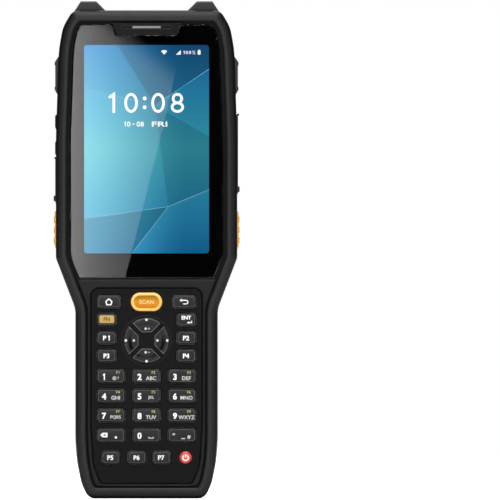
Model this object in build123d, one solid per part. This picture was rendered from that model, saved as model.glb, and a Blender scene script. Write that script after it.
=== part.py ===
from build123d import *
import math
import os

# Portable barcode data terminal: a touch screen over a keypad on the front, a scan window in the top
# end, and a camera window, a speaker and a tilting battery on the back.
# The frame: +X to the right of someone reading the screen, +Y out of the back, +Z up its length.
# Lengths are in millimetres.

# ---------------------------------------------------------------- outline, seen from the front
BODY_LENGTH = 202.4         # bottom end to the top end between the horns
HEAD_HALF = 37.6            # half width at the screen
GRIP_HALF = 29.5            # half width at the keypad
NOMINAL_LENGTH = 202.4      # the length and half width that the heights and distances below are given for
NOMINAL_HALF = 37.6


def up(height):
    """A height on the nominal body, carried to this body's length."""
    return height * BODY_LENGTH / NOMINAL_LENGTH


def out(distance):
    """A distance from the middle plane on the nominal head, carried to this head's width."""
    return distance * HEAD_HALF / NOMINAL_HALF


FLANK = 5.8                 # from the spine to the side of the grip
SPINE_HALF = GRIP_HALF - FLANK      # the raised middle of the rear face
WAIST_TOP = up(99.6)        # height where the head starts to narrow
WAIST_BOTTOM = up(78.6)     # height where the grip starts
FOOT_HALF = GRIP_HALF - 5.3         # half width of the bottom end
HORN_HEIGHT = 3.8           # horns above the top end

# ---------------------------------------------------------------- depths, along Y
RIM_FRONT = -15.0           # foremost plane, the rim round the front face
FLOOR_FRONT = -13.0         # floor of the front recess, which carries the glass and the key plate
FLOOR_THICK = 1.6
PARTING = 1.5               # plane where the two housings meet
FLANK_BACK = 7.5            # rear face beside the spine
SPINE_BACK = 10.5           # rear face round the camera window
DOOR_BACK = 12.0            # rear face of the battery door
END_BACK = 10.0             # rear face of the bottom end
HUMP_BACK = 15.0            # rearmost plane, the speaker frame
WALL = 2.2                  # housing side walls
RIM_WIDTH = 4.4             # rim round the front recess
RIM_ROUND = 3.2             # outer rounding of the rim
FLANK_ROUND = 4.8           # rounding from the side walls to the rear face
FLOOR_BACK = FLOOR_FRONT + FLOOR_THICK

# ---------------------------------------------------------------- screen
GLASS_THICK = 1.2
GLASS_GAP = 1.5             # between the rim and the glass
GLASS_TOP = BODY_LENGTH - RIM_WIDTH - GLASS_GAP
GLASS_BOTTOM = up(91.2)
DISPLAY_WIDTH = 51.8        # lit area of a 4 inch screen
DISPLAY_HEIGHT = 86.4
DISPLAY_CENTRE = up(144.8)  # height of the middle of the lit area
DISPLAY_BORDER = 1.2        # display module outside its lit area
DISPLAY_THICK = 3.2
EAR_TOP_HALF = 14.3         # earpiece bezel, a trapezium let into the glass
EAR_BOTTOM_HALF = 12.4
EAR_BOTTOM = GLASS_TOP - 4.4
EAR_SLOT = (21.2, 1.5)      # groove in the bezel
EAR_MESH = (11.8, 0.9)
EAR_HEIGHT = GLASS_TOP - 1.1

# ---------------------------------------------------------------- keypad
PLATE_HALF = 22.9
PLATE_TOP = up(87.1)
PLATE_BOTTOM = 6.3
PLATE_FOOT_HALF = 18.8      # half width of the straight bottom edge
PLATE_THICK = 0.9
PLATE_LEDGE = 0.8           # ledge of the housing that the plate lies on
COLLAR_FRONT = -14.2        # raised collar round the key plate
COLLAR_MOAT = 0.75          # between the rim and the collar
COLLAR_GAP = 0.5            # between the collar and the plate
KEY_FRONT = -15.0           # front of the key caps
KEY_BEVEL = 0.6
KEY_CORNER = 1.0
KEY_CROWN = 13.5            # radius of the caps' faces, which are round about X
KEY_GAP = 0.5               # between a cap and its hole
KEY_TRAVEL = 0.6
ROUND_KEYS = ("key_scan", "key_power")
ROUND_KEY_SIDES = 20
SCAN_BEAD = 1.1             # raised border of the scan key, with the bevel
FLANGE = KEY_GAP + 0.3      # how far a key's flange reaches past its cap
FLANGE_THICK = FLOOR_THICK - KEY_TRAVEL - 0.1
MEMBRANE_THICK = 0.8
BOARD_THICK = 1.0
BOARD_LOW = 11.8            # lower edge of the membrane and the board
PAD_CENTRE = up(65.5)       # height of the middle of the direction pad
PAD_RADIUS = up(9.3)
PAD_GAP = 0.35              # round the four direction keys
PAD_HUB = 3.5               # half width of the fixed middle of the direction pad
PAD_HUB_CORNER = 1.2
PAD_SIDES = 32
PAD_RIB = 1.5               # ribs between the four direction keys
PAD_RIDGE = 0.7             # raised ring round the direction pad
PAD_BRIM = 1.5              # level rim of the direction keys
PAD_SLOPE = 1.7             # slope from the rim down to the dish
PAD_DISH = 0.75             # how much lower the dish is beside the hub

LEFT, MIDDLE, RIGHT = -14.7, 0.0, 14.7      # columns of the number keys
EDGE = 16.5                                 # columns of the small side keys
NUMBER_KEY = (11.6, up(5.7))
SIDE_KEY = (8.1, up(5.4))
TOP_KEY = (9.8, up(5.4))
FOOT_KEY = (7.6, up(5.4))
ROW_TOP = up(81.5)          # home, scan and back
ROW_FN = up(74.2)
ROW_P1 = up(66.6)
ROW_P3 = up(59.2)
ROW_NUMBERS = (up(50.7), up(42.6), up(34.5), up(26.3))
ROW_BOTTOM = 17.0

# name: (x, z, width, height)
KEYS = {
    "key_home": (-15.6, ROW_TOP, *TOP_KEY),
    "key_scan": (0.0, ROW_TOP, 12.9, up(7.6)),
    "key_back": (15.6, ROW_TOP, *TOP_KEY),
    "key_fn": (-EDGE, ROW_FN, *SIDE_KEY),
    "key_enter": (EDGE, ROW_FN, *SIDE_KEY),
    "key_p1": (-EDGE, ROW_P1, *SIDE_KEY),
    "key_p2": (EDGE, ROW_P1, *SIDE_KEY),
    "key_p3": (-EDGE, ROW_P3, *SIDE_KEY),
    "key_p4": (EDGE, ROW_P3, *SIDE_KEY),
    "key_p5": (-14.9, ROW_BOTTOM, *FOOT_KEY),
    "key_p6": (-4.0, ROW_BOTTOM, *FOOT_KEY),
    "key_p7": (6.2, ROW_BOTTOM, *FOOT_KEY),
    "key_power": (16.2, ROW_BOTTOM, 5.4, 5.4),
}
NUMBER_NAMES = (("1", "2", "3"), ("4", "5", "6"), ("7", "8", "9"), ("backspace", "0", "star"))
for row, names in zip(ROW_NUMBERS, NUMBER_NAMES):
    for column, name in zip((LEFT, MIDDLE, RIGHT), names):
        KEYS["key_" + name] = (column, row, *NUMBER_KEY)

# ---------------------------------------------------------------- sides
SIDE_MIDDLE = -4.8          # depth of the middle of the side keys and covers
SIDE_DEPTH = 7.0            # how far they reach along Y
SIDE_PROUD = 0.6            # how far they stand out of the side walls
SIDE_GAP = 0.2
SCAN_KEY_Z = (up(103.4), up(119.2))
VOLUME_Z = (up(142.3), up(159.2))
COVER_LEFT_Z = (up(122.4), up(141.2))
COVER_RIGHT_Z = (up(126.2), up(159.2))
COVER_SKIN = 1.5            # thickness of a port cover
COVER_PLUG = 1.6            # how far its plug reaches in behind the skin
COVER_LEDGE = 4.0           # from the end of the cover to the end of its plug
TAB_SIZE = (2.4, 4.0)       # pull tab: along Z, along Y
TAB_PROUD = 1.0
BUMPER_Z = (up(166.6), up(183.7))  # rubber bumpers at the sides of the head
BUMPER_PROUD = 1.1
BUMPER_DEPTH = (-11.6, 0.9)

# ---------------------------------------------------------------- top end
HORN_BASE = (out(14.1), out(31.7))  # x of the foot of a horn, inside the housings
HORN_TIP = (out(20.9), out(27.3))
HORN_DEPTH = (-10.6, 6.0)
SCAN_HALF = SPINE_HALF - 7.4  # half width of the scan window's recess
SCAN_LOW = BODY_LENGTH - 6.5  # height of its lower edge on the rear face
SCAN_SINK = 1.0             # window below the slanting face
SCAN_GLASS = 1.3
SCAN_HOOK = 5.0             # length of the two hooks over the scan window
SCAN_NOTCH = 2.4            # depth of the notches beside them
PAD_LOW = up(185.7)         # lower edge of the raised corner pads
PAD_RAISE = 1.0

# ---------------------------------------------------------------- rear face
WINDOW_HALF = SPINE_HALF - 7.95     # camera window
WINDOW_Z = (up(151.7), up(194.2))
WINDOW_THICK = 1.0
LENS_X = 6.0                # camera at +x, flash at -x
LENS_Z = up(161.5)
CAMERA_RADIUS = 2.45
FLASH_RADIUS = 2.3
HUMP_TOP = up(149.6)
HUMP_BEVEL = 2.3
HUMP_CORNER = 7.0
PLATE_SPEAKER_HALF = SPINE_HALF - 2.7
PLATE_SPEAKER_Z = (up(94.6), up(142.2))
PLATE_SPEAKER_THICK = 1.6
PLATE_DEPTHS = (14.3, 10.9)     # rear face of the speaker plate at its foot and at its top
HOLE_TOP = up(131.0)
HOLE_PITCH = ((PLATE_SPEAKER_HALF - 3.9) / 7, up(2.34))
HOLE_RADIUS = 0.48
HOLE_SIDES = 6
DISH_HALF = 10.8            # finger dish in the speaker plate, with a bar along its middle
DISH_REACH = 4.4
DISH_DEEP = 1.1
DISH_SLOPE = 2.2            # run of the dish's sloping sides
DISH_BAR = 1.3
DISH_HEIGHT = up(119.5)
STRAP_HALF = 9.9            # top strap slot
STRAP_Z = (up(143.5), up(143.5) + 2.8)
STRAP_BAR = 2.4             # thickness of the bar that the strap goes round
STRAP_LOW_HALF = 10.7       # bottom strap slot
STRAP_LOW_Z = (6.8, 9.7)
HOOK_SLOTS = (SPINE_HALF + 1.8, SPINE_HALF + 5.0)  # x of the hook slots for a pistol grip
HOOK_Z = (up(109.8), up(128.3))
HOOK_WIDTH = 1.9
HOOK_DEEP = 1.4

# ---------------------------------------------------------------- battery
DOOR_GAP = 0.3              # round the battery door
DOOR_TOP_SIDE = up(98.0)    # height of the door's top edge at the sides
DOOR_TOP_MIDDLE = up(91.5)
DOOR_BOTTOM = 17.9
DOOR_CHAMFER = 5.6          # height of the slope at the door's bottom edge
DOOR_WALL = 2.0
BAY_FLOOR = 1.5             # floor of the battery bay
BAY_FLOOR_THICK = 1.5
CONTACT_Z = up(86.0)        # height of the battery's contacts
CELL_HALF = SPINE_HALF - 3.0
BAND_HALF = SPINE_HALF - 4.0        # finger bands in the door
BAND_HEIGHT = 6.6
BAND_CORNER = 2.6
BAND_DEEP = 0.7
BAND_Z = (up(75.9), up(59.1), up(42.2))
FOOT_X = 8.5
FOOT_Z = 30.4
FOOT_SIZE = (3.2, 8.3)
FOOT_PROUD = 0.7
WING_HALF = SPINE_HALF + 0.65 * FLANK  # the door's two lifting ears
WING_Z = (18.9, 31.5)
WING_NOTCH = 33.9
LATCH_X = SPINE_HALF + 0.54 * FLANK
LATCH_WIDTH = 0.6 * FLANK
LATCH_Z = (36.2, up(60.9))  # slot that a latch slides in
LATCH_KNOB = 8.4

# ---------------------------------------------------------------- screws
SCREW_HEAD = 1.45
SCREW_HEAD_THICK = 1.1
SCREW_SHANK = 0.9
SCREW_LENGTH = 12.0
SCREW_SINK = 0.5            # head below the surface
COUNTERBORE = 1.8
BOSS_RADIUS = 2.3
# x, z and the rear surface there
HOUSING_SCREWS = ((out(28.9), BODY_LENGTH - 5.2, 8.2), (HEAD_HALF - 4.2, up(163.3), 7.2),
                  (HEAD_HALF - 4.2, up(123.9), 7.2), ((GRIP_HALF + HEAD_HALF) / 2 - 3.1, up(90.7), 7.0),
                  (GRIP_HALF - 3.4, up(63.0), 6.9), (23.0, 8.2, 9.4))
PLATE_SCREW_X = PLATE_SPEAKER_HALF - 2.3
PLATE_SCREW_Z = (up(101.4), up(137.0))
WINDOW_SCREW = (WINDOW_HALF + 1.25, up(179.0))
TOUCH = 0.05                # clearance where one fixed piece is let into another


# ================================================================ shape helpers
def towards(a, b):
    """Unit vector from a to b."""
    length = math.hypot(b[0] - a[0], b[1] - a[1])
    return (b[0] - a[0]) / length, (b[1] - a[1]) / length


def mirrored(half):
    """A closed outline from its right half, given from the bottom to the top."""
    return list(half) + [(-x, z, r) for x, z, r in reversed(half)]


def inset(outline, amount, least=0.5):
    """The outline moved inwards, with its corner radii changed to suit."""
    moved = []
    for i, (x, z, r) in enumerate(outline):
        before, after = outline[i - 1], outline[(i + 1) % len(outline)]
        u, v = towards(before, (x, z)), towards((x, z), after)
        sx, sz = -u[1] - v[1], u[0] + v[0]
        k = 2 * amount / (sx * sx + sz * sz)
        convex = u[0] * v[1] > u[1] * v[0]
        moved.append((x + sx * k, z + sz * k, max(r - amount, least) if convex else r + amount))
    return moved


def rounded(outline):
    """A flat face from corners (x, z, radius)."""
    arcs = []
    for i, (x, z, r) in enumerate(outline):
        u = towards((x, z), outline[i - 1])
        v = towards((x, z), outline[(i + 1) % len(outline)])
        half = math.acos(u[0] * v[0] + u[1] * v[1]) / 2
        w = towards((0, 0), (u[0] + v[0], u[1] + v[1]))
        run, centre = r / math.tan(half), r / math.sin(half)
        arcs.append(((x + u[0] * run, z + u[1] * run),
                     (x + w[0] * (centre - r), z + w[1] * (centre - r)),
                     (x + v[0] * run, z + v[1] * run)))
    edges = []
    for i, arc in enumerate(arcs):
        edges.append(ThreePointArc(*arc))
        edges.append(Line(arc[2], arcs[(i + 1) % len(arcs)][0]))
    return make_face(Curve() + edges)


def slab(face, front, back):
    """A face drawn in X and Z, made solid between two depths."""
    return Rot(90, 0, 0) * Pos(0, 0, -back) * extrude(face, back - front)


def box(x0, x1, y0, y1, z0, z1):
    return Pos((x0 + x1) / 2, (y0 + y1) / 2, (z0 + z1) / 2) * Box(x1 - x0, y1 - y0, z1 - z0)


def cut_corners(width, height, corner):
    """A rectangle with its corners cut off, for small keys and slots."""
    return chamfer(Rectangle(width, height).vertices(), corner)


def many_sided(radius, sides):
    """A circle drawn with flat sides, one of them level."""
    return Rot(0, 0, 180 / sides) * RegularPolygon(radius, sides)


def eased_corners(width, height, corner):
    """A rectangle with each corner cut three times, close to an arc."""
    return chamfer(cut_corners(width, height, 0.634 * corner).vertices(), 0.25 * corner)


def peg(x, z, radius, front, back, sides=8):
    """A small bar along Y with flat sides, for what is hidden or tiny."""
    return slab(Pos(x, z) * many_sided(radius, sides), front, back)


def across(points, x0, x1):
    """A prism along X from points (y, z)."""
    face = Plane.YZ * make_face(Polyline(*points, close=True))
    return Pos(x0, 0, 0) * extrude(face, x1 - x0)


def upright(points, z0, z1):
    """A prism along Z from points (x, y)."""
    return Pos(0, 0, z0) * extrude(make_face(Polyline(*points, close=True)), z1 - z0)


def both_sides(solid):
    """The solid and its mirror image in the middle plane."""
    return [solid, mirror(solid, Plane.YZ)]


def foremost(solid):
    return solid.faces().sort_by(Axis.Y)[0]


def rearmost(solid):
    return solid.faces().sort_by(Axis.Y)[-1]


def round_over(solid, face, radius):
    """Breaks the rim of a flat end face with three slopes that keep close to a circle."""
    depth, reach = face.center().Y, 0.634 * radius
    foot = depth - math.copysign(reach, depth)
    solid = chamfer(face.outer_wire().edges(), reach)
    rims = [e for e in solid.edges()
            if min(abs(e.center().Y - depth), abs(e.center().Y - foot)) < 0.01]
    return chamfer(rims, 0.25 * radius)


# ================================================================ outlines
OUTLINE = mirrored([
    (FOOT_HALF, 0.0, 4.6), (GRIP_HALF - 2.4, 6.4, 16.0), (GRIP_HALF - 0.75, 14.6, 30.0),
    (GRIP_HALF, 24.5, 60.0), (GRIP_HALF, WAIST_BOTTOM, 12.0), (HEAD_HALF, WAIST_TOP, 5.0),
    (HEAD_HALF, up(150.0), 120.0), (out(36.4), up(186.0), 45.0), (out(34.7), BODY_LENGTH - 7.0, 14.0),
    (out(30.6), BODY_LENGTH, 4.6),
])
PLATE_OUTLINE = mirrored([
    (PLATE_FOOT_HALF, PLATE_BOTTOM, 2.0), (21.8, 14.0, 7.0), (PLATE_HALF, 30.0, 60.0),
    (PLATE_HALF, PLATE_TOP, 3.4),
])
DOOR_TOP = ((SPINE_HALF, DOOR_TOP_SIDE, 0.6), (SPINE_HALF - 10.6, DOOR_TOP_MIDDLE, 26.0))
SPEAKER_OUTLINE = mirrored([
    (12.0, PLATE_SPEAKER_Z[0], 2.0), (PLATE_SPEAKER_HALF, PLATE_SPEAKER_Z[0] + 5.6, 5.0),
    (PLATE_SPEAKER_HALF, PLATE_SPEAKER_Z[1], 7.5),
])
SPINE_PROFILE = ((SPINE_HALF, 8.4), (SPINE_HALF - 3.2, 9.7), (SPINE_HALF - 7.0, SPINE_BACK))
DOOR_PROFILE = ((SPINE_HALF - DOOR_GAP, 9.0), (SPINE_HALF - 4.0, 11.1), (11.0, DOOR_BACK))


def full_profile(half, base):
    """Points (x, y) of a cross-section, closed at the depth base."""
    side = half[0][0]
    return [(side, base), *half, *[(-x, y) for x, y in reversed(half)], (-side, base)]


def lowered(half, amount):
    return [(x, y - amount) for x, y in half]


# ================================================================ front
def side_window(z_range, side, grow, x0, x1):
    """A rounded opening in a side wall, between two distances from the middle plane."""
    half, middle = (z_range[1] - z_range[0]) / 2 + grow, sum(z_range) / 2
    face = Plane.YZ * Pos(SIDE_MIDDLE, middle) * cut_corners(SIDE_DEPTH + 2 * grow, 2 * half, 1.2)
    return Pos(x0 if side > 0 else -x1, 0, 0) * extrude(face, x1 - x0)


def plug_range(z_range):
    return z_range[0] + COVER_LEDGE, z_range[1] - COVER_LEDGE + 1.5


def plug_window(z_range, side, grow, x0, x1):
    low, high = plug_range(z_range)
    half_depth = SIDE_DEPTH / 2 - 1.6 + grow
    x_range = (x0, x1) if side > 0 else (-x1, -x0)
    return box(*x_range, SIDE_MIDDLE - half_depth, SIDE_MIDDLE + half_depth, low - 2 * grow, high + grow)


def make_front_housing():
    shell = slab(rounded(OUTLINE), RIM_FRONT, PARTING)
    shell = round_over(shell, foremost(shell), RIM_ROUND)
    shell -= slab(rounded(inset(OUTLINE, RIM_WIDTH, 1.6)), RIM_FRONT - 1, FLOOR_FRONT)
    shell = chamfer(foremost(shell).inner_wires()[0].edges(), 0.5)
    collar = slab(rounded(inset(OUTLINE, RIM_WIDTH + COLLAR_MOAT, 1.6)), COLLAR_FRONT, FLOOR_BACK)
    collar &= box(-60, 60, COLLAR_FRONT, FLOOR_BACK, 0, GLASS_BOTTOM - GLASS_GAP / 3)
    shell += collar - slab(rounded(inset(PLATE_OUTLINE, -COLLAR_GAP)), COLLAR_FRONT, FLOOR_FRONT)
    shell -= slab(rounded(inset(OUTLINE, WALL, 1.6)), FLOOR_BACK, PARTING + 1)
    half, low = DISPLAY_WIDTH / 2 + DISPLAY_BORDER + TOUCH, DISPLAY_HEIGHT / 2 + DISPLAY_BORDER + TOUCH
    shell -= box(-half, half, FLOOR_FRONT - 1, FLOOR_BACK + 1, DISPLAY_CENTRE - low, DISPLAY_CENTRE + low)
    shell -= slab(rounded(inset(PLATE_OUTLINE, PLATE_LEDGE)), FLOOR_FRONT - 1, FLOOR_BACK + 1)
    shell -= slab(Pos(0, EAR_HEIGHT) * Rectangle(10.0, 0.7), FLOOR_FRONT - 1, FLOOR_BACK + 1)
    inside = slab(rounded(inset(OUTLINE, WALL / 2)), FLOOR_BACK, PARTING)
    for x, z, _ in HOUSING_SCREWS:
        for boss in both_sides(peg(x, z, BOSS_RADIUS, FLOOR_BACK, PARTING, 4)):
            shell += boss & inside
        for bore in both_sides(peg(x, z, SCREW_SHANK, SCREW_TIP, PARTING + 1, 6)):
            shell -= bore
    for side in (-1, 1):
        shell -= side_window(SCAN_KEY_Z, side, SIDE_GAP, HEAD_HALF - 6, HEAD_HALF + 4)
    shell -= side_window(VOLUME_Z, -1, SIDE_GAP, HEAD_HALF - 6, HEAD_HALF + 4)
    for side, z_range in ((-1, COVER_LEFT_Z), (1, COVER_RIGHT_Z)):
        shell -= side_window(z_range, side, SIDE_GAP, COVER_SEAT, HEAD_HALF + 4)
        shell -= plug_window(z_range, side, SIDE_GAP, HEAD_HALF - 8, HEAD_HALF + 4)
    return shell


def make_screen_glass():
    reach = RIM_WIDTH + GLASS_GAP
    pane = slab(rounded(inset(OUTLINE, reach, 2.0)), GLASS_FRONT, FLOOR_FRONT)
    pane &= box(-60, 60, GLASS_FRONT, FLOOR_FRONT, GLASS_BOTTOM, GLASS_TOP)
    pane -= slab(ear_face(TOUCH), GLASS_FRONT - 1, FLOOR_FRONT + 1)
    return chamfer(foremost(pane).edges(), 0.25)


def ear_face(grow=0.0):
    """The trapezium that is let into the top edge of the glass."""
    top = GLASS_TOP + 0.7
    return make_face(Polyline((-EAR_TOP_HALF - grow, top), (-EAR_BOTTOM_HALF - grow, EAR_BOTTOM - grow),
                              (EAR_BOTTOM_HALF + grow, EAR_BOTTOM - grow), (EAR_TOP_HALF + grow, top),
                              close=True))


def make_earpiece_bezel():
    bezel = slab(ear_face(), GLASS_FRONT - 0.2, FLOOR_FRONT)
    bezel = chamfer(foremost(bezel).edges(), 0.3)
    bezel -= slab(ear_slot(EAR_SLOT), GLASS_FRONT - 1, GLASS_FRONT + 0.5)
    return bezel - slab(ear_slot(EAR_MESH, TOUCH), GLASS_FRONT, FLOOR_FRONT + 1)


def ear_slot(size, grow=0.0):
    width, height = size
    return Pos(0, EAR_HEIGHT) * cut_corners(width + 2 * grow, height + 2 * grow, height / 3.4)


def make_earpiece_mesh():
    return slab(ear_slot(EAR_MESH), GLASS_FRONT + 0.3, FLOOR_FRONT)


def make_display_module():
    half, low = DISPLAY_WIDTH / 2 + DISPLAY_BORDER, DISPLAY_HEIGHT / 2 + DISPLAY_BORDER
    return box(-half, half, FLOOR_FRONT, DISPLAY_REAR, DISPLAY_CENTRE - low, DISPLAY_CENTRE + low)


# ================================================================ keypad
def key_face(name, grow=0.0):
    x, z, width, height = KEYS[name]
    if name not in ROUND_KEYS:
        return Pos(x, z) * cut_corners(width + 2 * grow, height + 2 * grow, KEY_CORNER + 0.6 * grow)
    reach, run = (height / 2 + grow) / math.cos(math.pi / ROUND_KEY_SIDES), (width - height) / 2
    face = many_sided(reach, ROUND_KEY_SIDES)
    if run > 0:
        face = Pos(run, 0) * face + Pos(-run, 0) * face + Rectangle(2 * run, height + 2 * grow)
    return Pos(x, z) * face


def make_key(name):
    x, z, width, height = KEYS[name]
    cap = slab(key_face(name), KEY_FRONT, PLATE_REAR + FLANGE_THICK)
    if name not in ROUND_KEYS:
        cap &= Pos(x, KEY_FRONT + KEY_CROWN, z) * Rot(0, 90, 0) * Cylinder(KEY_CROWN, 2 * width)
    cap = chamfer(foremost(cap).edges(), KEY_BEVEL)
    if name == "key_scan":
        cap -= slab(key_face(name, -SCAN_BEAD), KEY_FRONT, KEY_FRONT + SCAN_BEAD / 4)
    flange = slab(Pos(x, z) * Rectangle(width + 2 * FLANGE, height + 2 * FLANGE),
                  PLATE_REAR, PLATE_REAR + FLANGE_THICK)
    return cap + flange


def wedge(turn, rib):
    """The quarter of the direction pad at an angle, clear of the ribs."""
    start, reach = rib / 2 * math.sqrt(2), 2 * PAD_RADIUS
    face = make_face(Polyline((0, start), (reach, start + reach), (-reach, start + reach), close=True))
    return Pos(0, PAD_CENTRE) * Rot(0, 0, turn) * face


def pad_face(hub, radius):
    """The direction pad from the front, with its squarish hub left out."""
    middle = cut_corners(2 * hub, 2 * hub, PAD_HUB_CORNER)
    return Pos(0, PAD_CENTRE) * (many_sided(radius, PAD_SIDES) - middle)


def make_direction_key(turn):
    """A quarter of a dished ring, with a flange behind the plate."""
    base = PLATE_REAR + FLANGE_THICK
    ring = slab(pad_face(PAD_HUB, PAD_RADIUS), KEY_FRONT, base)
    ring = chamfer(foremost(ring).outer_wire().edges(), 0.4)
    brim = many_sided(PAD_RADIUS - PAD_BRIM, PAD_SIDES)
    floor = many_sided(PAD_RADIUS - PAD_BRIM - PAD_SLOPE, PAD_SIDES)
    dish = loft([brim.face(), (Pos(0, 0, -PAD_DISH) * floor).face()], ruled=True)
    ring -= Pos(0, KEY_FRONT, PAD_CENTRE) * Rot(90, 0, 0) * dish
    cap = ring & slab(wedge(turn, PAD_RIB + 2 * PAD_GAP), KEY_FRONT - 1, base + 1)
    catch = pad_face(PAD_HUB - PAD_GAP - 0.2, PAD_RADIUS + PAD_GAP + 0.3) & wedge(turn, PAD_RIB - 0.3)
    return cap + slab(catch, PLATE_REAR, base)


def make_keypad_plate():
    plate = slab(rounded(PLATE_OUTLINE), PLATE_FRONT, PLATE_REAR)
    plate = chamfer(foremost(plate).edges(), 0.3)
    hole = PAD_RADIUS + PAD_GAP
    ridge = many_sided(hole + PAD_RIDGE, PAD_SIDES) - many_sided(hole, PAD_SIDES)
    plate += slab(Pos(0, PAD_CENTRE) * ridge, PLATE_FRONT - 0.5, PLATE_REAR)
    for name in KEYS:
        plate -= slab(key_face(name, KEY_GAP), PLATE_FRONT - 1, PLATE_REAR + 1)
    for turn in DIRECTIONS.values():
        opening = pad_face(PAD_HUB - PAD_GAP, hole) & wedge(turn, PAD_RIB)
        plate -= slab(opening, PLATE_FRONT - 1, PLATE_REAR + 1)
    return plate


def keypad_back_face(margin):
    return Pos(0, (PLATE_TOP + BOARD_LOW) / 2) * Rectangle(2 * PLATE_HALF - margin, PLATE_TOP - BOARD_LOW)


def make_keypad_membrane():
    return slab(keypad_back_face(0.0), FLOOR_BACK, FLOOR_BACK + MEMBRANE_THICK)


def make_keypad_board():
    front = FLOOR_BACK + MEMBRANE_THICK
    return slab(keypad_back_face(1.0), front, front + BOARD_THICK)


# ================================================================ sides
def make_side_key(side):
    """A scan trigger: a ribbed cap through the side wall, with a flange inside."""
    inner, outer = HEAD_HALF - WALL - 1.0, HEAD_HALF + SIDE_PROUD
    cap = side_window(SCAN_KEY_Z, side, 0.0, inner, outer)
    cap = chamfer(cap.faces().sort_by(Axis.X)[-1 if side > 0 else 0].edges(), 0.5)
    middle, step = sum(SCAN_KEY_Z) / 2, 4.3
    for k in (-1, 0, 1):
        x_range = (inner + 1, outer + 0.35) if side > 0 else (-outer - 0.35, -inner - 1)
        rib = box(*x_range, SIDE_MIDDLE - 2.6, SIDE_MIDDLE + 2.6, middle + k * step - 1.4,
                  middle + k * step + 1.4)
        cap += chamfer(rib.faces().sort_by(Axis.X)[-1 if side > 0 else 0].edges(), 0.3)
    return cap + flange_block(SCAN_KEY_Z, side, 0.4)


def flange_block(z_range, side, play):
    """The flange behind a side wall that keeps a side key in, with its play to the wall."""
    wall_inside = HEAD_HALF - WALL - play
    x_range = (wall_inside - 0.9, wall_inside) if side > 0 else (-wall_inside, -wall_inside + 0.9)
    reach = SIDE_DEPTH / 2 + 0.8
    return box(*x_range, SIDE_MIDDLE - reach, SIDE_MIDDLE + reach, z_range[0] - 0.9, z_range[1] + 0.9)


def make_volume_rocker():
    inner, outer = HEAD_HALF - WALL - 0.9, HEAD_HALF + SIDE_PROUD - 0.2
    cap = side_window(VOLUME_Z, -1, 0.0, inner, outer)
    cap = chamfer(cap.faces().sort_by(Axis.X)[0].edges(), 0.5)
    dip = Pos(-outer - 7.2, SIDE_MIDDLE, sum(VOLUME_Z) / 2) * Rot(90, 0, 0) * Cylinder(7.9, SIDE_DEPTH + 2)
    low, high = VOLUME_Z
    middle = (low + high) / 2
    return cap - dip + flange_block((middle - 6.0, middle + 6.0), -1, 0.7)


def make_port_cover(z_range, side):
    """A rubber flap over a side socket: a skin, a plug and a pull tab."""
    skin = side_window(z_range, side, 0.0, COVER_SEAT + TOUCH, HEAD_HALF + 0.35)
    skin = chamfer(skin.faces().sort_by(Axis.X)[-1 if side > 0 else 0].edges(), 0.35)
    skin += plug_window(z_range, side, 0.0, COVER_SEAT - COVER_PLUG, COVER_SEAT + 1)
    low = z_range[0] + 0.8
    x_range = (HEAD_HALF, HEAD_HALF + TAB_PROUD) if side > 0 else (-HEAD_HALF - TAB_PROUD, -HEAD_HALF)
    tab = box(*x_range, SIDE_MIDDLE - TAB_SIZE[1] / 2, SIDE_MIDDLE + TAB_SIZE[1] / 2, low, low + TAB_SIZE[0])
    return skin + fillet(tab.edges().filter_by(Axis.Y), 0.45)


def make_side_bumpers(housing):
    low, high = BUMPER_Z
    top_x, base_x = HEAD_HALF - 0.8 + BUMPER_PROUD, HEAD_HALF - 1.4
    face = rounded([(base_x - 3.0, low, 0.8), (top_x - 1.5, low, 0.8), (top_x, low + 2.4, 1.2),
                    (top_x, high - 2.4, 1.2), (top_x - 1.7, high, 0.8), (base_x - 3.0, high, 0.8)])
    pad = slab(face, *BUMPER_DEPTH)
    pad = chamfer(foremost(pad).edges() + rearmost(pad).edges(), 0.5)
    for z in (low + 3.4, high - 3.4):
        pad += box(top_x - 1, top_x + 0.25, BUMPER_DEPTH[0] + 1, BUMPER_DEPTH[1] - 1, z - 0.7, z + 0.7)
    pad -= housing
    return Compound(both_sides(pad.solids().sort_by(SortBy.VOLUME)[-1]))


def make_horn_bumpers(housings):
    foot_in, foot_out = HORN_BASE
    tip_in, tip_out = HORN_TIP
    top = BODY_LENGTH + HORN_HEIGHT
    face = rounded([(foot_in, BODY_LENGTH - 3.0, 1.0), (foot_out, BODY_LENGTH - 3.0, 1.0),
                    (tip_out, top, 0.8), (tip_in, top, 0.8)])
    horn = slab(face, *HORN_DEPTH)
    rims = horn.faces().filter_by(Axis.Y)
    horn = chamfer([e for f in rims for e in f.edges()], 0.5)
    for housing in housings:
        horn -= housing
    return Compound(both_sides(horn.solids().sort_by(SortBy.VOLUME)[-1]))


# ================================================================ rear housing
def speaker_frame(solid):
    """Moves a solid from the speaker plate's own frame, whose rear face is Y 0, to its tilted place."""
    foot, top = PLATE_DEPTHS
    low, high = PLATE_SPEAKER_Z
    tilt = math.degrees(math.atan2(foot - top, high - low))
    return Pos(0, foot, low) * Rot(tilt, 0, 0) * Pos(0, 0, -low) * solid


def door_outline(shrink):
    """The battery door's outline, moved in by the gap round it."""
    (side, top_side, r_side), (mid, top_mid, r_mid) = DOOR_TOP
    return inset(mirrored([(side, DOOR_BOTTOM, 0.7), (side, top_side, r_side), (mid, top_mid, r_mid)]),
                 shrink, 0.3)


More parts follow.
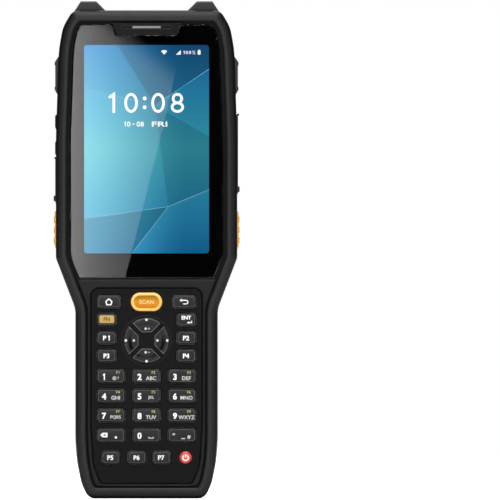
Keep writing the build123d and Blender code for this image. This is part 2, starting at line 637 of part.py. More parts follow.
def scan_slope(sink):
    """The prism over the slanting face that the scan window lies in."""
    y0, z0 = PARTING, BODY_LENGTH
    y1, z1 = SPINE_BACK, SCAN_LOW
    uy, uz = towards((y0, z0), (y1, z1))
    down = (uz * sink, -uy * sink)
    a = (y0 + down[0], z0 + down[1])
    b = (y1 + down[0] + 4 * uy, z1 + down[1] + 4 * uz)
    return [a, b, (b[0] + 8, b[1] + 14), (a[0], a[1] + 14)]


def make_rear_body():
    """The outside of the rear housing, before it is hollowed."""
    base = slab(rounded(OUTLINE), PARTING, FLANK_BACK)
    base = round_over(base, rearmost(base), FLANK_ROUND)
    pads = slab(rounded(OUTLINE), PARTING, FLANK_BACK + PAD_RAISE)
    pads = round_over(pads, rearmost(pads), FLANK_ROUND)
    base += pads & box(-60, 60, PARTING, 20, PAD_LOW, BODY_LENGTH + 1)
    end = slab(rounded(OUTLINE), PARTING, END_BACK)
    end = round_over(end, rearmost(end), FLANK_ROUND)
    base += end & box(-60, 60, PARTING, 20, -1, DOOR_BOTTOM)
    spine = upright(full_profile(SPINE_PROFILE, PARTING), WAIST_TOP, BODY_LENGTH)
    spine = fillet(spine.faces().sort_by(Axis.Z)[-1].edges().sort_by(Axis.Y)[-3:], 2.4)
    base += spine
    hump = slab(rounded(mirrored([(SPINE_HALF, 80.0, 3.0), (SPINE_HALF, HUMP_TOP, HUMP_CORNER)])),
                PARTING, HUMP_BACK)
    hump = chamfer(rearmost(hump).edges(), HUMP_BEVEL)
    (side, top_side, _), (mid, top_mid, r_mid) = DOOR_TOP
    far = top_mid + (top_side - top_mid) / (side - mid) * (40 - mid)
    above = rounded(mirrored([(mid, top_mid, r_mid), (40, far, 0.5), (40, 170, 0.5)]))
    return base + (hump & slab(above, PARTING, HUMP_BACK))


def make_rear_housing(body):
    shell = body
    # the inside of the head between the screws, of the spine and of the speaker box
    half = HOUSING_SCREWS[1][0] - BOSS_RADIUS - 0.9
    shell -= box(-half, half, PARTING - 1, FLANK_BACK - WALL, WAIST_TOP + 1, SCAN_LOW - 3)
    half = SPINE_HALF - 3.4
    shell -= box(-half, half, PARTING - 1, SPINE_BACK - WALL, HUMP_TOP + 1, SCAN_LOW - 3)
    half = PLATE_SPEAKER_HALF - 4.4
    shell -= box(-half, half, PARTING - 1, 13, up(103.5), up(134.5))
    # the battery bay and the ears' recesses
    floor_half = SPINE_HALF + 0.6
    shell += box(-floor_half, floor_half, BAY_FLOOR - BAY_FLOOR_THICK, BAY_FLOOR, DOOR_BOTTOM - 1.4,
                 WAIST_TOP - 0.5)
    shell -= slab(rounded(door_outline(0.0)), BAY_FLOOR, HUMP_BACK + 1)
    for ear in both_sides(box(SPINE_HALF - 1, WING_HALF + DOOR_GAP, 3.6, HUMP_BACK, DOOR_BOTTOM + 0.2,
                              WING_NOTCH)):
        shell -= ear
    shell -= box(-7.5, 7.5, BAY_FLOOR - 4, BAY_FLOOR + 0.1, CONTACT_Z - 2, CONTACT_Z + 2)
    # the speaker plate's seat
    shell -= speaker_frame(slab(rounded(inset(SPEAKER_OUTLINE, -DOOR_GAP)), -PLATE_SPEAKER_THICK, 8))
    # strap slots, each leading round a bar to the end face beside it
    shell -= strap_slot(STRAP_HALF, STRAP_Z, SPINE_BACK, HUMP_BACK)
    under = HUMP_BACK - STRAP_BAR
    shell -= box(-STRAP_HALF + 1, STRAP_HALF - 1, SPINE_BACK, under, STRAP_Z[0], HUMP_TOP + 1)
    shell -= strap_slot(STRAP_LOW_HALF, STRAP_LOW_Z, 3.6, END_BACK)
    shell -= box(-STRAP_LOW_HALF + 1, STRAP_LOW_HALF - 1, 3.6, 6.4, -1, STRAP_LOW_Z[1])
    # hook slots for a pistol grip
    for x in HOOK_SLOTS:
        face = Pos(x, sum(HOOK_Z) / 2) * cut_corners(HOOK_WIDTH, HOOK_Z[1] - HOOK_Z[0], 0.6)
        for slot in both_sides(slab(face, FLANK_BACK - HOOK_DEEP, HUMP_BACK)):
            shell -= slot
    # the camera window's seat and what is behind it
    shell -= slab(window_face(DOOR_GAP), SPINE_BACK - WINDOW_THICK, HUMP_BACK)
    shell -= box(-9.5, 9.5, 0, SPINE_BACK, LENS_Z - 3.6, LENS_Z + 3.6)
    # the scan window's seat and light tunnel
    pocket = across(scan_slope(SCAN_SINK + SCAN_GLASS), -SCAN_HALF, SCAN_HALF)
    shell -= pocket & box(-SCAN_HALF, SCAN_HALF, 0, HUMP_BACK, SCAN_LOW, BODY_LENGTH + 9)
    shell -= box(-13, 13, PARTING - 1, 8.0, SCAN_LOW - 4, BODY_LENGTH - 2)
    # hooks over the scan window, beside notches in the spine's end
    foot = BODY_LENGTH - SCAN_NOTCH
    for hook in both_sides(box(SCAN_HALF - SCAN_HOOK, SCAN_HALF + 1, SPINE_BACK - 3.9, SPINE_BACK - 1.5,
                               foot - 1.2, BODY_LENGTH - 1.0)):
        shell += hook
    for notch in both_sides(box(SCAN_HALF, SCAN_HALF + 2.2, SPINE_BACK - 4.9, HUMP_BACK, foot,
                                BODY_LENGTH + 1)):
        shell -= notch
    # latch slots
    face = Pos(LATCH_X, sum(LATCH_Z) / 2) * cut_corners(LATCH_WIDTH, LATCH_Z[1] - LATCH_Z[0], 1.2)
    for slot in both_sides(slab(face, PARTING - 1, HUMP_BACK)):
        shell -= slot
    # screws
    for x, z, surface in HOUSING_SCREWS:
        seat = surface - SCREW_SINK - SCREW_HEAD_THICK
        for sink in both_sides(peg(x, z, COUNTERBORE, seat, HUMP_BACK, 10)):
            shell -= sink
        for bore in both_sides(peg(x, z, SCREW_SHANK + 0.2, PARTING - 1, seat + 1, 6)):
            shell -= bore
    for z in PLATE_SCREW_Z:
        for bore in both_sides(speaker_frame(peg(PLATE_SCREW_X, z, SCREW_SHANK, -5.0, 0, 6))):
            shell -= bore
    x, z = WINDOW_SCREW
    for bore in both_sides(peg(x, z, 0.9, SPINE_BACK - 2.0, HUMP_BACK, 10)):
        shell -= bore
    return shell


def strap_slot(half, z_range, floor, back):
    """A slot for a strap, rounded at both ends."""
    low, high = z_range
    face = Pos(0, (low + high) / 2) * eased_corners(2 * half, high - low, 0.45 * (high - low))
    return slab(face, floor, back + 1)


def window_face(grow=0.0):
    low, high = WINDOW_Z
    return rounded(inset([(WINDOW_HALF, low, 3.6), (WINDOW_HALF, high, 2.8), (-WINDOW_HALF, high, 2.8),
                          (-WINDOW_HALF, low, 3.6)], -grow))


def make_back_window():
    pane = slab(window_face(), SPINE_BACK - WINDOW_THICK, SPINE_BACK - 0.1)
    pane = chamfer(rearmost(pane).edges(), 0.2)
    pane -= peg(LENS_X, LENS_Z, CAMERA_RADIUS + TOUCH, 0, 20, 16)
    return pane - peg(-LENS_X, LENS_Z, FLASH_RADIUS + TOUCH, 0, 20, 16)


def make_camera_module():
    barrel = peg(LENS_X, LENS_Z, CAMERA_RADIUS, SPINE_BACK - 3.0, SPINE_BACK - 0.15, 16)
    barrel -= peg(LENS_X, LENS_Z, CAMERA_RADIUS - 0.7, SPINE_BACK - 0.6, SPINE_BACK, 16)
    case = box(LENS_X - 3.4, LENS_X + 3.4, BOARD_REAR, SPINE_BACK - 2.9, LENS_Z - 3.4, LENS_Z + 3.4)
    return barrel + case


def make_flash_lens():
    return (peg(-LENS_X, LENS_Z, FLASH_RADIUS, SPINE_BACK - WINDOW_THICK, SPINE_BACK - 0.1, 16)
            + peg(-LENS_X, LENS_Z, FLASH_RADIUS + 0.6, SPINE_BACK - 2.4, SPINE_BACK - WINDOW_THICK, 8))


def make_scan_window():
    """The pane that the scanner reads through, on its slanting seat."""
    sunk, deep = scan_slope(SCAN_SINK), scan_slope(SCAN_SINK + SCAN_GLASS)
    pane = across(deep, -SCAN_HALF + 0.1, SCAN_HALF - 0.1) - across(sunk, -SCAN_HALF, SCAN_HALF)
    pane &= box(-SCAN_HALF, SCAN_HALF, PARTING + TOUCH, SPINE_BACK, SCAN_LOW + TOUCH, BODY_LENGTH)
    return pane


# ================================================================ speaker plate
def hole_places():
    """Middles of the speaker holes: a grid that leaves the dish clear."""
    columns, rows = range(-7, 8), range(12)
    step_x, step_z = HOLE_PITCH
    for row in rows:
        kept = {3: 2, 4: 1, 5: 1, 6: 1, 7: 2}.get(row)
        for column in columns:
            if kept is None or abs(column) > 7 - kept:
                yield column * step_x, HOLE_TOP - row * step_z


def make_speaker_plate():
    plate = slab(rounded(SPEAKER_OUTLINE), -PLATE_SPEAKER_THICK, 0)
    plate = chamfer(rearmost(plate).edges(), 0.4)
    dish = slab(Pos(0, DISH_HEIGHT) * cut_corners(2 * DISH_HALF, 2 * DISH_REACH, 2.4), -DISH_DEEP, 0)
    plate -= chamfer(foremost(dish).edges(), DISH_DEEP - 0.1, DISH_SLOPE)
    bar = slab(Pos(0, DISH_HEIGHT) * Rectangle(2 * DISH_HALF - 2.0, DISH_BAR), -DISH_DEEP, -0.1)
    plate += chamfer(rearmost(bar).edges(), 0.3)
    foot = PLATE_SPEAKER_Z[0]
    for rise, half in ((3.6, 14.6), (1.0, 11.6)):
        plate += box(-half, half, -0.5, 0.45, foot + rise - 0.45, foot + rise + 0.45)
    holes = [Pos(x, z) * RegularPolygon(HOLE_RADIUS, HOLE_SIDES) for x, z in hole_places()]
    plate -= slab(Sketch() + holes, -PLATE_SPEAKER_THICK - 1, 1)
    for z in PLATE_SCREW_Z:
        for sink in both_sides(peg(PLATE_SCREW_X, z, COUNTERBORE - 0.1, -1.1, 1, 12)):
            plate -= sink
        for bore in both_sides(peg(PLATE_SCREW_X, z, SCREW_SHANK + 0.1, -3, 1, 6)):
            plate -= bore
    return speaker_frame(plate)


def make_speaker_unit():
    return speaker_frame(box(-15.0, 15.0, -6.0, -PLATE_SPEAKER_THICK, up(106.0), up(132.0)))


# ================================================================ battery
def make_battery_door(base):
    outline = rounded(door_outline(DOOR_GAP))
    body = upright(full_profile(DOOR_PROFILE, 6.0), DOOR_BOTTOM + 2 * DOOR_GAP, 110)
    body &= slab(outline, 6.0, HUMP_BACK)
    slope = [(DOOR_BACK + 0.1, DOOR_BOTTOM + DOOR_CHAMFER), (DOOR_BACK + 5, DOOR_BOTTOM + DOOR_CHAMFER),
             (DOOR_BACK + 5, 0), (7.6, 0), (7.6, DOOR_BOTTOM + DOOR_GAP)]
    body -= across(slope, -40, 40)
    ears = (base & box(-WING_HALF, WING_HALF, 4.0, 7.3, *WING_Z)) - box(-20, 20, 0, 20, 0, 60)
    body += ears
    body -= box(-CELL_HALF, CELL_HALF, 0, DOOR_BACK - DOOR_WALL, DOOR_BOTTOM + 4.5, DOOR_TOP_MIDDLE - 2.5)
    skin = upright(full_profile(lowered(DOOR_PROFILE, BAND_DEEP), 0), 0, 110)
    for z in BAND_Z:
        band = slab(Pos(0, z) * eased_corners(2 * BAND_HALF, BAND_HEIGHT, BAND_CORNER), 6, HUMP_BACK)
        body -= band - skin
    rest = slab(Pos(FOOT_X, FOOT_Z) * cut_corners(*FOOT_SIZE, 1.0), DOOR_BACK - 1, DOOR_BACK + FOOT_PROUD)
    for foot in both_sides(chamfer(rearmost(rest).edges(), 0.3)):
        body += foot
    return body


def make_battery_cell():
    return box(-CELL_HALF, CELL_HALF, BAY_FLOOR + 0.3, DOOR_BACK - DOOR_WALL, DOOR_BOTTOM + 4.5,
               DOOR_TOP_MIDDLE - 2.5)


def make_latch():
    """A sliding catch beside the battery: a grooved knob on a shoe that runs behind the wall."""
    middle = LATCH_Z[0] + 0.5 + LATCH_KNOB / 2
    knob = slab(Pos(LATCH_X, middle) * cut_corners(LATCH_WIDTH - 0.4, LATCH_KNOB, 1.0), PARTING + 0.1, 6.6)
    knob = chamfer(rearmost(knob).edges(), 0.3)
    for k in (-1, 0, 1):
        knob -= box(LATCH_X - 3, LATCH_X + 3, 6.0, 8.0, middle + 1.8 * k - 0.35, middle + 1.8 * k + 0.35)
    inner, outer = SPINE_HALF + 0.17 * FLANK, GRIP_HALF - WALL - 0.2
    knob += box(LATCH_X - LATCH_WIDTH / 2 + 0.2, outer, 0.2, PARTING + 1, middle - 2.5, middle + 2.5)
    return knob + box(inner, outer, 0.2, PARTING - 0.1, middle - 6, middle + 6)


# ================================================================ inner pieces
def make_chassis_frame():
    """The pressed frame that stiffens the head, with posts for the main board."""
    outline = inset(OUTLINE, WALL + 5.2, 2.0)
    sheet = slab(rounded(outline), DISPLAY_REAR, CHASSIS_REAR) & box(-60, 60, -20, 0, up(93.0), BOARD_TOP)
    for z in (up(165.0), up(135.0)):
        sheet -= slab(Pos(0, z) * cut_corners(30.0, 18.0, 3.0), -20, 0)
    for z in (up(104.0), up(150.0), BOARD_TOP - 5.0):
        for post in both_sides(peg(22.0, z, 1.8, CHASSIS_REAR, BOARD_FRONT, 6)):
            sheet += post
    return sheet


def make_main_board():
    half = [(19.5, 20.0), (19.5, up(84.0)), (BOARD_HALF, up(98.0)), (BOARD_HALF, BOARD_TOP)]
    outline = Polyline(*half, *[(-x, z) for x, z in reversed(half)], close=True)
    board = slab(make_face(outline), BOARD_FRONT, BOARD_REAR)
    for x, z, w, h, tall in ((-9, up(152), 14, 14, 1.4), (10, up(148), 10, 12, 1.2),
                             (-8, up(122), 18, 20, 2.0), (12, up(118), 8, 8, 1.6), (0, up(60), 16, 10, 1.4)):
        board += box(x - w / 2, x + w / 2, BOARD_REAR, BOARD_REAR + tall, z - h / 2, z + h / 2)
    return board


def make_connectors():
    """The sockets behind the two port covers, and the battery's contact block."""
    usb_z = sum(COVER_LEFT_Z) / 2
    mouth, root = HEAD_HALF - 4.2, BOARD_HALF - 1.5
    usb = box(-mouth, -root, BOARD_REAR, BOARD_REAR + 3.2, usb_z - 4.5, usb_z + 4.5)
    usb -= box(-mouth - 1, -root - 4, BOARD_REAR + 0.4, BOARD_REAR + 2.8, usb_z - 4.1, usb_z + 4.1)
    card_z = sum(COVER_RIGHT_Z) / 2
    card = box(root - 6, mouth, BOARD_REAR, BOARD_REAR + 1.8, card_z - 8.0, card_z + 8.0)
    card -= box(root - 2, mouth + 1, BOARD_REAR + 0.4, BOARD_REAR + 1.4, card_z - 6.0, card_z + 6.0)
    contact = box(-7.0, 7.0, BOARD_REAR, BAY_FLOOR + 0.2, CONTACT_Z - 1.5, CONTACT_Z + 1.5)
    return Compound([usb, card, contact])


def make_scan_engine():
    case = box(-11.0, 11.0, BOARD_REAR, 4.9, SCAN_LOW - 20.9, SCAN_LOW - 3.2)
    for x, radius in ((-5.0, 2.6), (4.5, 1.8)):
        case += Pos(x, 2.0, SCAN_LOW - 3.2) * extrude(RegularPolygon(radius, 10), 1.5)
    return case


def make_screw(seat):
    """A screw pointing forwards, with its head on the depth seat."""
    head = peg(0, 0, SCREW_HEAD, seat, seat + SCREW_HEAD_THICK, 8)
    return head + peg(0, 0, SCREW_SHANK - TOUCH, seat - SCREW_LENGTH, seat, 6)


def make_screws():
    screws = []
    for x, z, surface in HOUSING_SCREWS:
        seat = surface - SCREW_SINK - SCREW_HEAD_THICK
        for side in (-1, 1):
            screws.append(Pos(side * x, 0, z) * make_screw(seat))
    short = peg(0, 0, SCREW_HEAD - 0.1, -1.1, -0.3, 8) + peg(0, 0, SCREW_SHANK - TOUCH, -4.8, -1.1, 6)
    for z in PLATE_SCREW_Z:
        for side in (-1, 1):
            screws.append(speaker_frame(Pos(side * PLATE_SCREW_X, 0, z) * short))
    x, z = WINDOW_SCREW
    for side in (-1, 1):
        screws.append(peg(side * x, z, 0.9 - TOUCH, SPINE_BACK - 2.0, SPINE_BACK - 0.7, 10))
    return Compound(screws)


# ================================================================ depths worked out from the above
GLASS_FRONT = FLOOR_FRONT - GLASS_THICK
DISPLAY_REAR = FLOOR_FRONT + DISPLAY_THICK
PLATE_FRONT = FLOOR_FRONT - PLATE_THICK
PLATE_REAR = FLOOR_FRONT
COVER_SEAT = HEAD_HALF - COVER_SKIN
CHASSIS_REAR = DISPLAY_REAR + 1.2
BOARD_FRONT = CHASSIS_REAR + 1.8
BOARD_REAR = BOARD_FRONT + BOARD_THICK
BOARD_HALF = HEAD_HALF - 12.1
BOARD_TOP = BODY_LENGTH - 13.4
SCREW_TIP = -7.5
DIRECTIONS = {"dpad_up": 0, "dpad_left": 90, "dpad_down": 180, "dpad_right": 270}


def build():
    front = make_front_housing()
    body = make_rear_body()
    pieces = {
        "front_housing": front,
        "rear_housing": make_rear_housing(body),
        "horn_bumpers": make_horn_bumpers((slab(rounded(OUTLINE), RIM_FRONT, FLANK_BACK), body)),
        "side_bumpers": make_side_bumpers(slab(rounded(OUTLINE), RIM_FRONT, FLANK_BACK)),
        "screen_glass": make_screen_glass(),
        "display_module": make_display_module(),
        "earpiece_bezel": make_earpiece_bezel(),
        "earpiece_mesh": make_earpiece_mesh(),
        "keypad_plate": make_keypad_plate(),
        "keypad_membrane": make_keypad_membrane(),
        "keypad_board": make_keypad_board(),
        "chassis_frame": make_chassis_frame(),
        "main_board": make_main_board(),
        "connectors": make_connectors(),
        "scan_window": make_scan_window(),
        "scan_engine": make_scan_engine(),
        "back_window": make_back_window(),
        "camera_module": make_camera_module(),
        "flash_lens": make_flash_lens(),
        "speaker_plate": make_speaker_plate(),
        "speaker_unit": make_speaker_unit(),
        "housing_screws": make_screws(),
        "battery_door": make_battery_door(body),
        "battery_cell": make_battery_cell(),
        "latch_right": make_latch(),
        "latch_left": mirror(make_latch(), Plane.YZ),
        "scan_key_left": make_side_key(-1),
        "scan_key_right": make_side_key(1),
        "volume_rocker": make_volume_rocker(),
        "port_cover_left": make_port_cover(COVER_LEFT_Z, -1),
        "port_cover_right": make_port_cover(COVER_RIGHT_Z, 1),
    }
    for name in KEYS:
        pieces[name] = make_key(name)
    for name, turn in DIRECTIONS.items():
        pieces[name] = make_direction_key(turn)
    return pieces


os.makedirs("parts", exist_ok=True)
for piece_name, piece in build().items():
    export_step(piece, f"parts/{piece_name}.step")
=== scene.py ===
"""A hand-held barcode data terminal: its finishes, printed legends, screen picture and lens details."""
import math

import bmesh
import bpy
from mathutils import Matrix, Vector


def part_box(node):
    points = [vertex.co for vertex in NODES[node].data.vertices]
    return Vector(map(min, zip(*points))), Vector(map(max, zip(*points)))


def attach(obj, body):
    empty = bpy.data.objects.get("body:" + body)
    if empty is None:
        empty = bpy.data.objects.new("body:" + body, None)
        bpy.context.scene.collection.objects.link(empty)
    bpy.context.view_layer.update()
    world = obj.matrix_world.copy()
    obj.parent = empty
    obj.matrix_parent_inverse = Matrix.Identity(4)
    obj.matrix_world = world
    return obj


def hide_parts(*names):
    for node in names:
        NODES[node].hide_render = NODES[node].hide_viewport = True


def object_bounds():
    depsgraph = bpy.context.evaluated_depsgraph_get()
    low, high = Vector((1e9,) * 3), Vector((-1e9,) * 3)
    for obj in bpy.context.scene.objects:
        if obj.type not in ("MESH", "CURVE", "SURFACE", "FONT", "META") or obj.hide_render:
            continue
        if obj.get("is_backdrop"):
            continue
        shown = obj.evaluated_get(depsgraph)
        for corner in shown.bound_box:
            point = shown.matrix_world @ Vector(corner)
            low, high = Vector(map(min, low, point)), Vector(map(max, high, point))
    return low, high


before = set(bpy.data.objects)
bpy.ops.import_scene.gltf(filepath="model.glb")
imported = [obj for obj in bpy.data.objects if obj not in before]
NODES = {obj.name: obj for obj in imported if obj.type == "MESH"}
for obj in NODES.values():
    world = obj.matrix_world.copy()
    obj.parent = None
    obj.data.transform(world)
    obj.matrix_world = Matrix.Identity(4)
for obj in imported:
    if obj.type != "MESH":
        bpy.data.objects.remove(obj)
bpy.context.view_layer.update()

MM = 0.001

# ---------------------------------------------------------------- sizes in millimetres
INK = 0.02                      # thickness of a printed layer
KEY_FRONT = -15.0               # depth of the key caps' faces
GLASS_REAR = -13.0
PICTURE_DEPTH = GLASS_REAR - 0.04           # the lit picture, bonded to the glass
PRINT_BEHIND_GLASS = PICTURE_DEPTH - 0.05   # the black border round it
ICON_DEPTH = PRINT_BEHIND_GLASS - 0.06      # what the picture shows on top
LIT_HALF, LIT_LOW, LIT_HIGH = 25.9, 101.6, 188.0
LIT_CORNER = 1.2
SCAN_RUN = 2.65                 # from the middle of the scan key to the middle of its round end
SCAN_BEAD_HIGHLIGHT = (2.55, 2.75)        # how far from that line the painted highlight on its bead starts
SCAN_SHADE_REACH = 2.6                 # how far up and down from its middle the painted shade by height runs
RED_RIM_SHADE = (1.5, 2.7)            # how far from the power key's middle the painted shade deepens its red
FLASH_REACH, LENS_REACH = 2.5, 2.6      # how far out the rings of the two small lenses go
GLINT_AT, GLINT_REACH = (-0.7, -0.6), (0.7, 0.35)       # place and fade of the camera lens's painted glint
KEY_CROWN = 13.5                # radius of the grey key caps' faces
RIM_DEPTHS = (-13.6, -15.0)     # between these the front shell turns from painted shade to painted light
CAP_DEPTHS = (-13.75, -13.95)   # between these a key's web ends and its cap starts
PLATE_NORMAL = (0.0, 0.997, 0.071)   # square to the speaker plate's outer plane
PLATE_PLANE = 20.97             # how far out along it the plane lies
PLATE_SHADE_FADE = (141.0, 122.0)     # heights between which its painted shade fades, from the top down


def middle_of(node_name):
    """The middle of a node's box in millimetres, X and Z."""
    low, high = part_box(node_name)
    return (low.x + high.x) / 2 / MM, (low.z + high.z) / 2 / MM


# ---------------------------------------------------------------- materials
def linear(hex_text):
    """An sRGB colour written in hex, as linear red, green, blue and alpha."""
    parts = [int(hex_text[i:i + 2], 16) / 255 for i in (1, 3, 5)]
    return tuple(c / 12.92 if c <= 0.04045 else ((c + 0.055) / 1.055) ** 2.4 for c in parts) + (1.0,)


def add(tree, kind, sockets=None, stops=None, **settings):
    """Adds a node with its settings; a socket gets a value or another node's output."""
    node = tree.nodes.new("ShaderNode" + kind)
    for name, value in settings.items():
        setattr(node, name, value)
    for name, value in (sockets or {}).items():
        if isinstance(value, bpy.types.NodeSocket):
            tree.links.new(value, node.inputs[name])
        else:
            node.inputs[name].default_value = value
    for i, (place, colour) in enumerate(stops or []):
        slots = node.color_ramp.elements
        stop = slots[i] if i < 2 else slots.new(place)
        stop.position, stop.color = place, linear(colour)
    return node


def unmade(name):
    """A new material and its node tree, still empty."""
    made = bpy.data.materials.new(name)
    made.use_nodes = True
    made.node_tree.nodes.clear()
    return made, made.node_tree


def finish(name, **values):
    """A new material with its tree, its shader and the place of the shaded point on its own piece.

    The shader's constant sockets are set by name, with _ for a space.
    """
    made, tree = unmade(name)
    shader = add(tree, "BsdfPrincipled", {k.replace("_", " "): v for k, v in values.items()})
    add(tree, "OutputMaterial", {"Surface": shader.outputs[0]})
    return made, tree, shader, add(tree, "TexCoord").outputs["Object"]


def wire(tree, shader, **outputs):
    """Joins node outputs to the shader's sockets."""
    for name, output in outputs.items():
        tree.links.new(output, shader.inputs[name.replace("_", " ")])


def soft_edge(tree, radius, flat, wear_and_highlight, samples=8):
    """A normal rounded over that radius in millimetres, and a mask from 0 on the flat to 1 on the edge."""
    soft = add(tree, "Bevel", {"Radius": radius * MM}, samples=samples).outputs[0]
    face = add(tree, "NewGeometry").outputs["Normal"]
    turn = add(tree, "VectorMath", {0: soft, 1: face}, operation="DOT_PRODUCT").outputs["Value"]
    return soft, add(tree, "MapRange", {"Value": turn, "From Min": flat, "From Max": wear_and_highlight}).outputs[0]


def moulded(name, colour, wear_and_highlight, edge, grain=0.4, rough=0.42, depth=0.006, painted_light_zones=None, coat=0.0, **values):
    """Moulded plastic: spark-eroded grain; soft edges painted paler, part wear, part painted highlight.

    Grain, edge and depth are in millimetres. The light-and-shade mask paints light in the lighter colour it
    brings in and leaves painted shade dark, and gives how shiny the dark and the light areas are; a clear
    coat covers the light areas only.
    """
    made, tree, shader, place = finish(name, **values)
    pits = add(tree, "TexNoise", {"Vector": place, "Scale": 1 / (grain * MM), "Detail": 3.0,
                                  "Roughness": 0.6})
    cloud = add(tree, "TexNoise", {"Vector": place, "Scale": 1 / (22 * MM), "Detail": 2.0})
    soft, rub_and_highlight = soft_edge(tree, edge, 0.995, 0.80, samples=6)
    body = add(tree, "MixRGB", {"Fac": cloud.outputs["Fac"], "Color1": linear(colour),
                                "Color2": tuple(0.86 * c for c in linear(colour)[:3]) + (1.0,)})
    if painted_light_zones:
        mask, light, dull, shiny = painted_light_zones
        painted_light_mask = mask(tree, place)
        # painted light and shade: lit areas take the lighter colour, shaded ones keep the dark one
        body = add(tree, "MixRGB", {"Fac": painted_light_mask, "Color1": body.outputs[0], "Color2": linear(light)})
        level = add(tree, "MapRange", {"Value": painted_light_mask, "To Min": dull, "To Max": shiny})
        wire(tree, shader, Specular_IOR_Level=level.outputs[0],
             Coat_Weight=add(tree, "Math", {0: painted_light_mask, 1: coat}, operation="MULTIPLY").outputs[0])
    # edges take the paler colour, part wear and part painted highlight
    skin = add(tree, "MixRGB", {"Fac": rub_and_highlight, "Color1": body.outputs[0], "Color2": linear(wear_and_highlight)})
    gloss = add(tree, "MapRange", {"Value": pits.outputs["Fac"], "From Min": 0.3, "From Max": 0.7,
                                   "To Min": rough - 0.05, "To Max": rough + 0.06})
    bump = add(tree, "Bump", {"Height": pits.outputs["Fac"], "Strength": 0.6, "Distance": depth * MM,
                              "Normal": soft})
    wire(tree, shader, Base_Color=skin.outputs[0], Roughness=gloss.outputs[0], Normal=bump.outputs[0])
    return made


def mask_along(tree, place, letter, start, end, mirrored=False):
    """A mask from 0 to 1 as one coordinate goes from start to end, in millimetres."""
    reach = add(tree, "SeparateXYZ", {0: place}).outputs[letter]
    if mirrored:
        reach = add(tree, "Math", {0: reach}, operation="ABSOLUTE").outputs[0]
    return add(tree, "MapRange", {"Value": reach, "From Min": start * MM, "From Max": end * MM}).outputs[0]


def mask_round(tree, place, x, z, start, end):
    """A mask from 0 to 1 as the distance from a front-to-back line through x, z goes from start to end."""
    flat = add(tree, "VectorMath", {0: place, 1: (1.0, 0.0, 1.0)}, operation="MULTIPLY")
    reach = add(tree, "VectorMath", {0: flat.outputs[0], 1: (x * MM, 0.0, z * MM)}, operation="DISTANCE")
    return add(tree, "MapRange", {"Value": reach.outputs["Value"], "From Min": start * MM,
                                  "From Max": end * MM}).outputs[0]


def mottled(tree, place, size, dark, light, low=0.3, high=0.7, detail=2.0, swirl=0.0):
    """A noise with patches of that size in millimetres, and the colour it gives between two hex values."""
    noise = add(tree, "TexNoise", {"Vector": place, "Scale": 1 / (size * MM), "Detail": detail,
                                   "Distortion": swirl}).outputs["Fac"]
    return noise, add(tree, "ValToRGB", {"Fac": noise}, stops=[(low, dark), (high, light)]).outputs[0]


def near_front(tree, place):
    """The foremost faces of the front shell, painted lighter as light; its flanks and the floor under the
    glass stay darker as painted shade.
    """
    return mask_along(tree, place, "Y", *RIM_DEPTHS)


# share of the lighter colour on the spine, the hump and the foot, part bead-blast grain and part painted
# light,
# and where it starts: to the rear, and in height
BLASTED_AND_LIT = ((0.52, (7.0, 7.6), (149.9, 150.3)), (0.27, (11.2, 12.6), (100.0, 106.0)),
           (0.17, (8.6, 9.2), (18.8, 18.4)))
PAD_OUT, PAD_ABOVE = (23.5, 23.9), (185.7, 186.1)       # where the corner pads start, sideways and in height
FLANK_SHARE, FLANK_REAR, FLANK_OUT = 0.11, (6.4, 7.0), (33.6, 34.6)


def blasted(tree, place):
    """The rear shell's lighter areas, part bead-blast grain, part painted light: corner pads most, then
    spine, hump, foot and flanks; the hollows stay black as painted shade.
    """
    levels = []
    for share, depths, heights in BLASTED_AND_LIT:
        both = add(tree, "Math", {0: mask_along(tree, place, "Y", *depths),
                                  1: mask_along(tree, place, "Z", *heights)}, operation="MULTIPLY")
        levels.append(add(tree, "Math", {0: both.outputs[0], 1: share}, operation="MULTIPLY").outputs[0])
    spine, hump, foot = levels
    out = mask_along(tree, place, "X", *PAD_OUT, mirrored=True)
    pad = add(tree, "Math", {0: out, 1: mask_along(tree, place, "Z", *PAD_ABOVE)}, operation="MULTIPLY")
    side = add(tree, "Math", {0: mask_along(tree, place, "Y", *FLANK_REAR),
                              1: mask_along(tree, place, "X", *FLANK_OUT, mirrored=True)},
               operation="MAXIMUM")
    flank = add(tree, "Math", {0: side.outputs[0], 1: FLANK_SHARE}, operation="MULTIPLY")
    tops = []
    for top, *others in ((foot, spine, hump), (foot, pad.outputs[0], flank.outputs[0])):
        for other in others:
            top = add(tree, "Math", {0: top, 1: other}, operation="MAXIMUM").outputs[0]
        tops.append(top)
    return add(tree, "Mix", {"Factor": out, "A": tops[0], "B": tops[1]}).outputs[0]


def cap_only(tree, place):
    """The part of a key in front of the plate; the web round it, in the gap, is painted dark as shade."""
    return mask_along(tree, place, "Y", *CAP_DEPTHS)


def plate_relief(tree, place):
    """The speaker plate's sloping outer plane, painted lighter; its dish and holes painted dark as shade, and
    its top painted dimmer as shade.
    """
    height = add(tree, "VectorMath", {0: place, 1: PLATE_NORMAL}, operation="DOT_PRODUCT")
    # painted light on the outer plane; the dish and holes below it stay dark as painted shade
    flat = add(tree, "MapRange", {"Value": height.outputs["Value"], "From Min": (PLATE_PLANE - 0.8) * MM,
                                  "From Max": (PLATE_PLANE - 0.1) * MM})
    # painted shade: the plate's top painted dimmer
    low = add(tree, "MapRange", {"Value": mask_along(tree, place, "Z", *PLATE_SHADE_FADE), "To Min": 0.35})
    return add(tree, "Math", {0: flat.outputs[0], 1: low.outputs[0]}, operation="MULTIPLY").outputs[0]


# glass-filled ABS, spark-eroded: satin black with a soft sheen along rounded rims, part painted highlight;
# its foremost faces painted lighter as light, its flanks and floor darker as painted shade
FRONT_ABS = moulded("housing_moulded_abs", "#0d0d0e", "#202021", edge=1.2,
                    painted_light_zones=(near_front, "#1e1e1f", 0.07, 0.25))
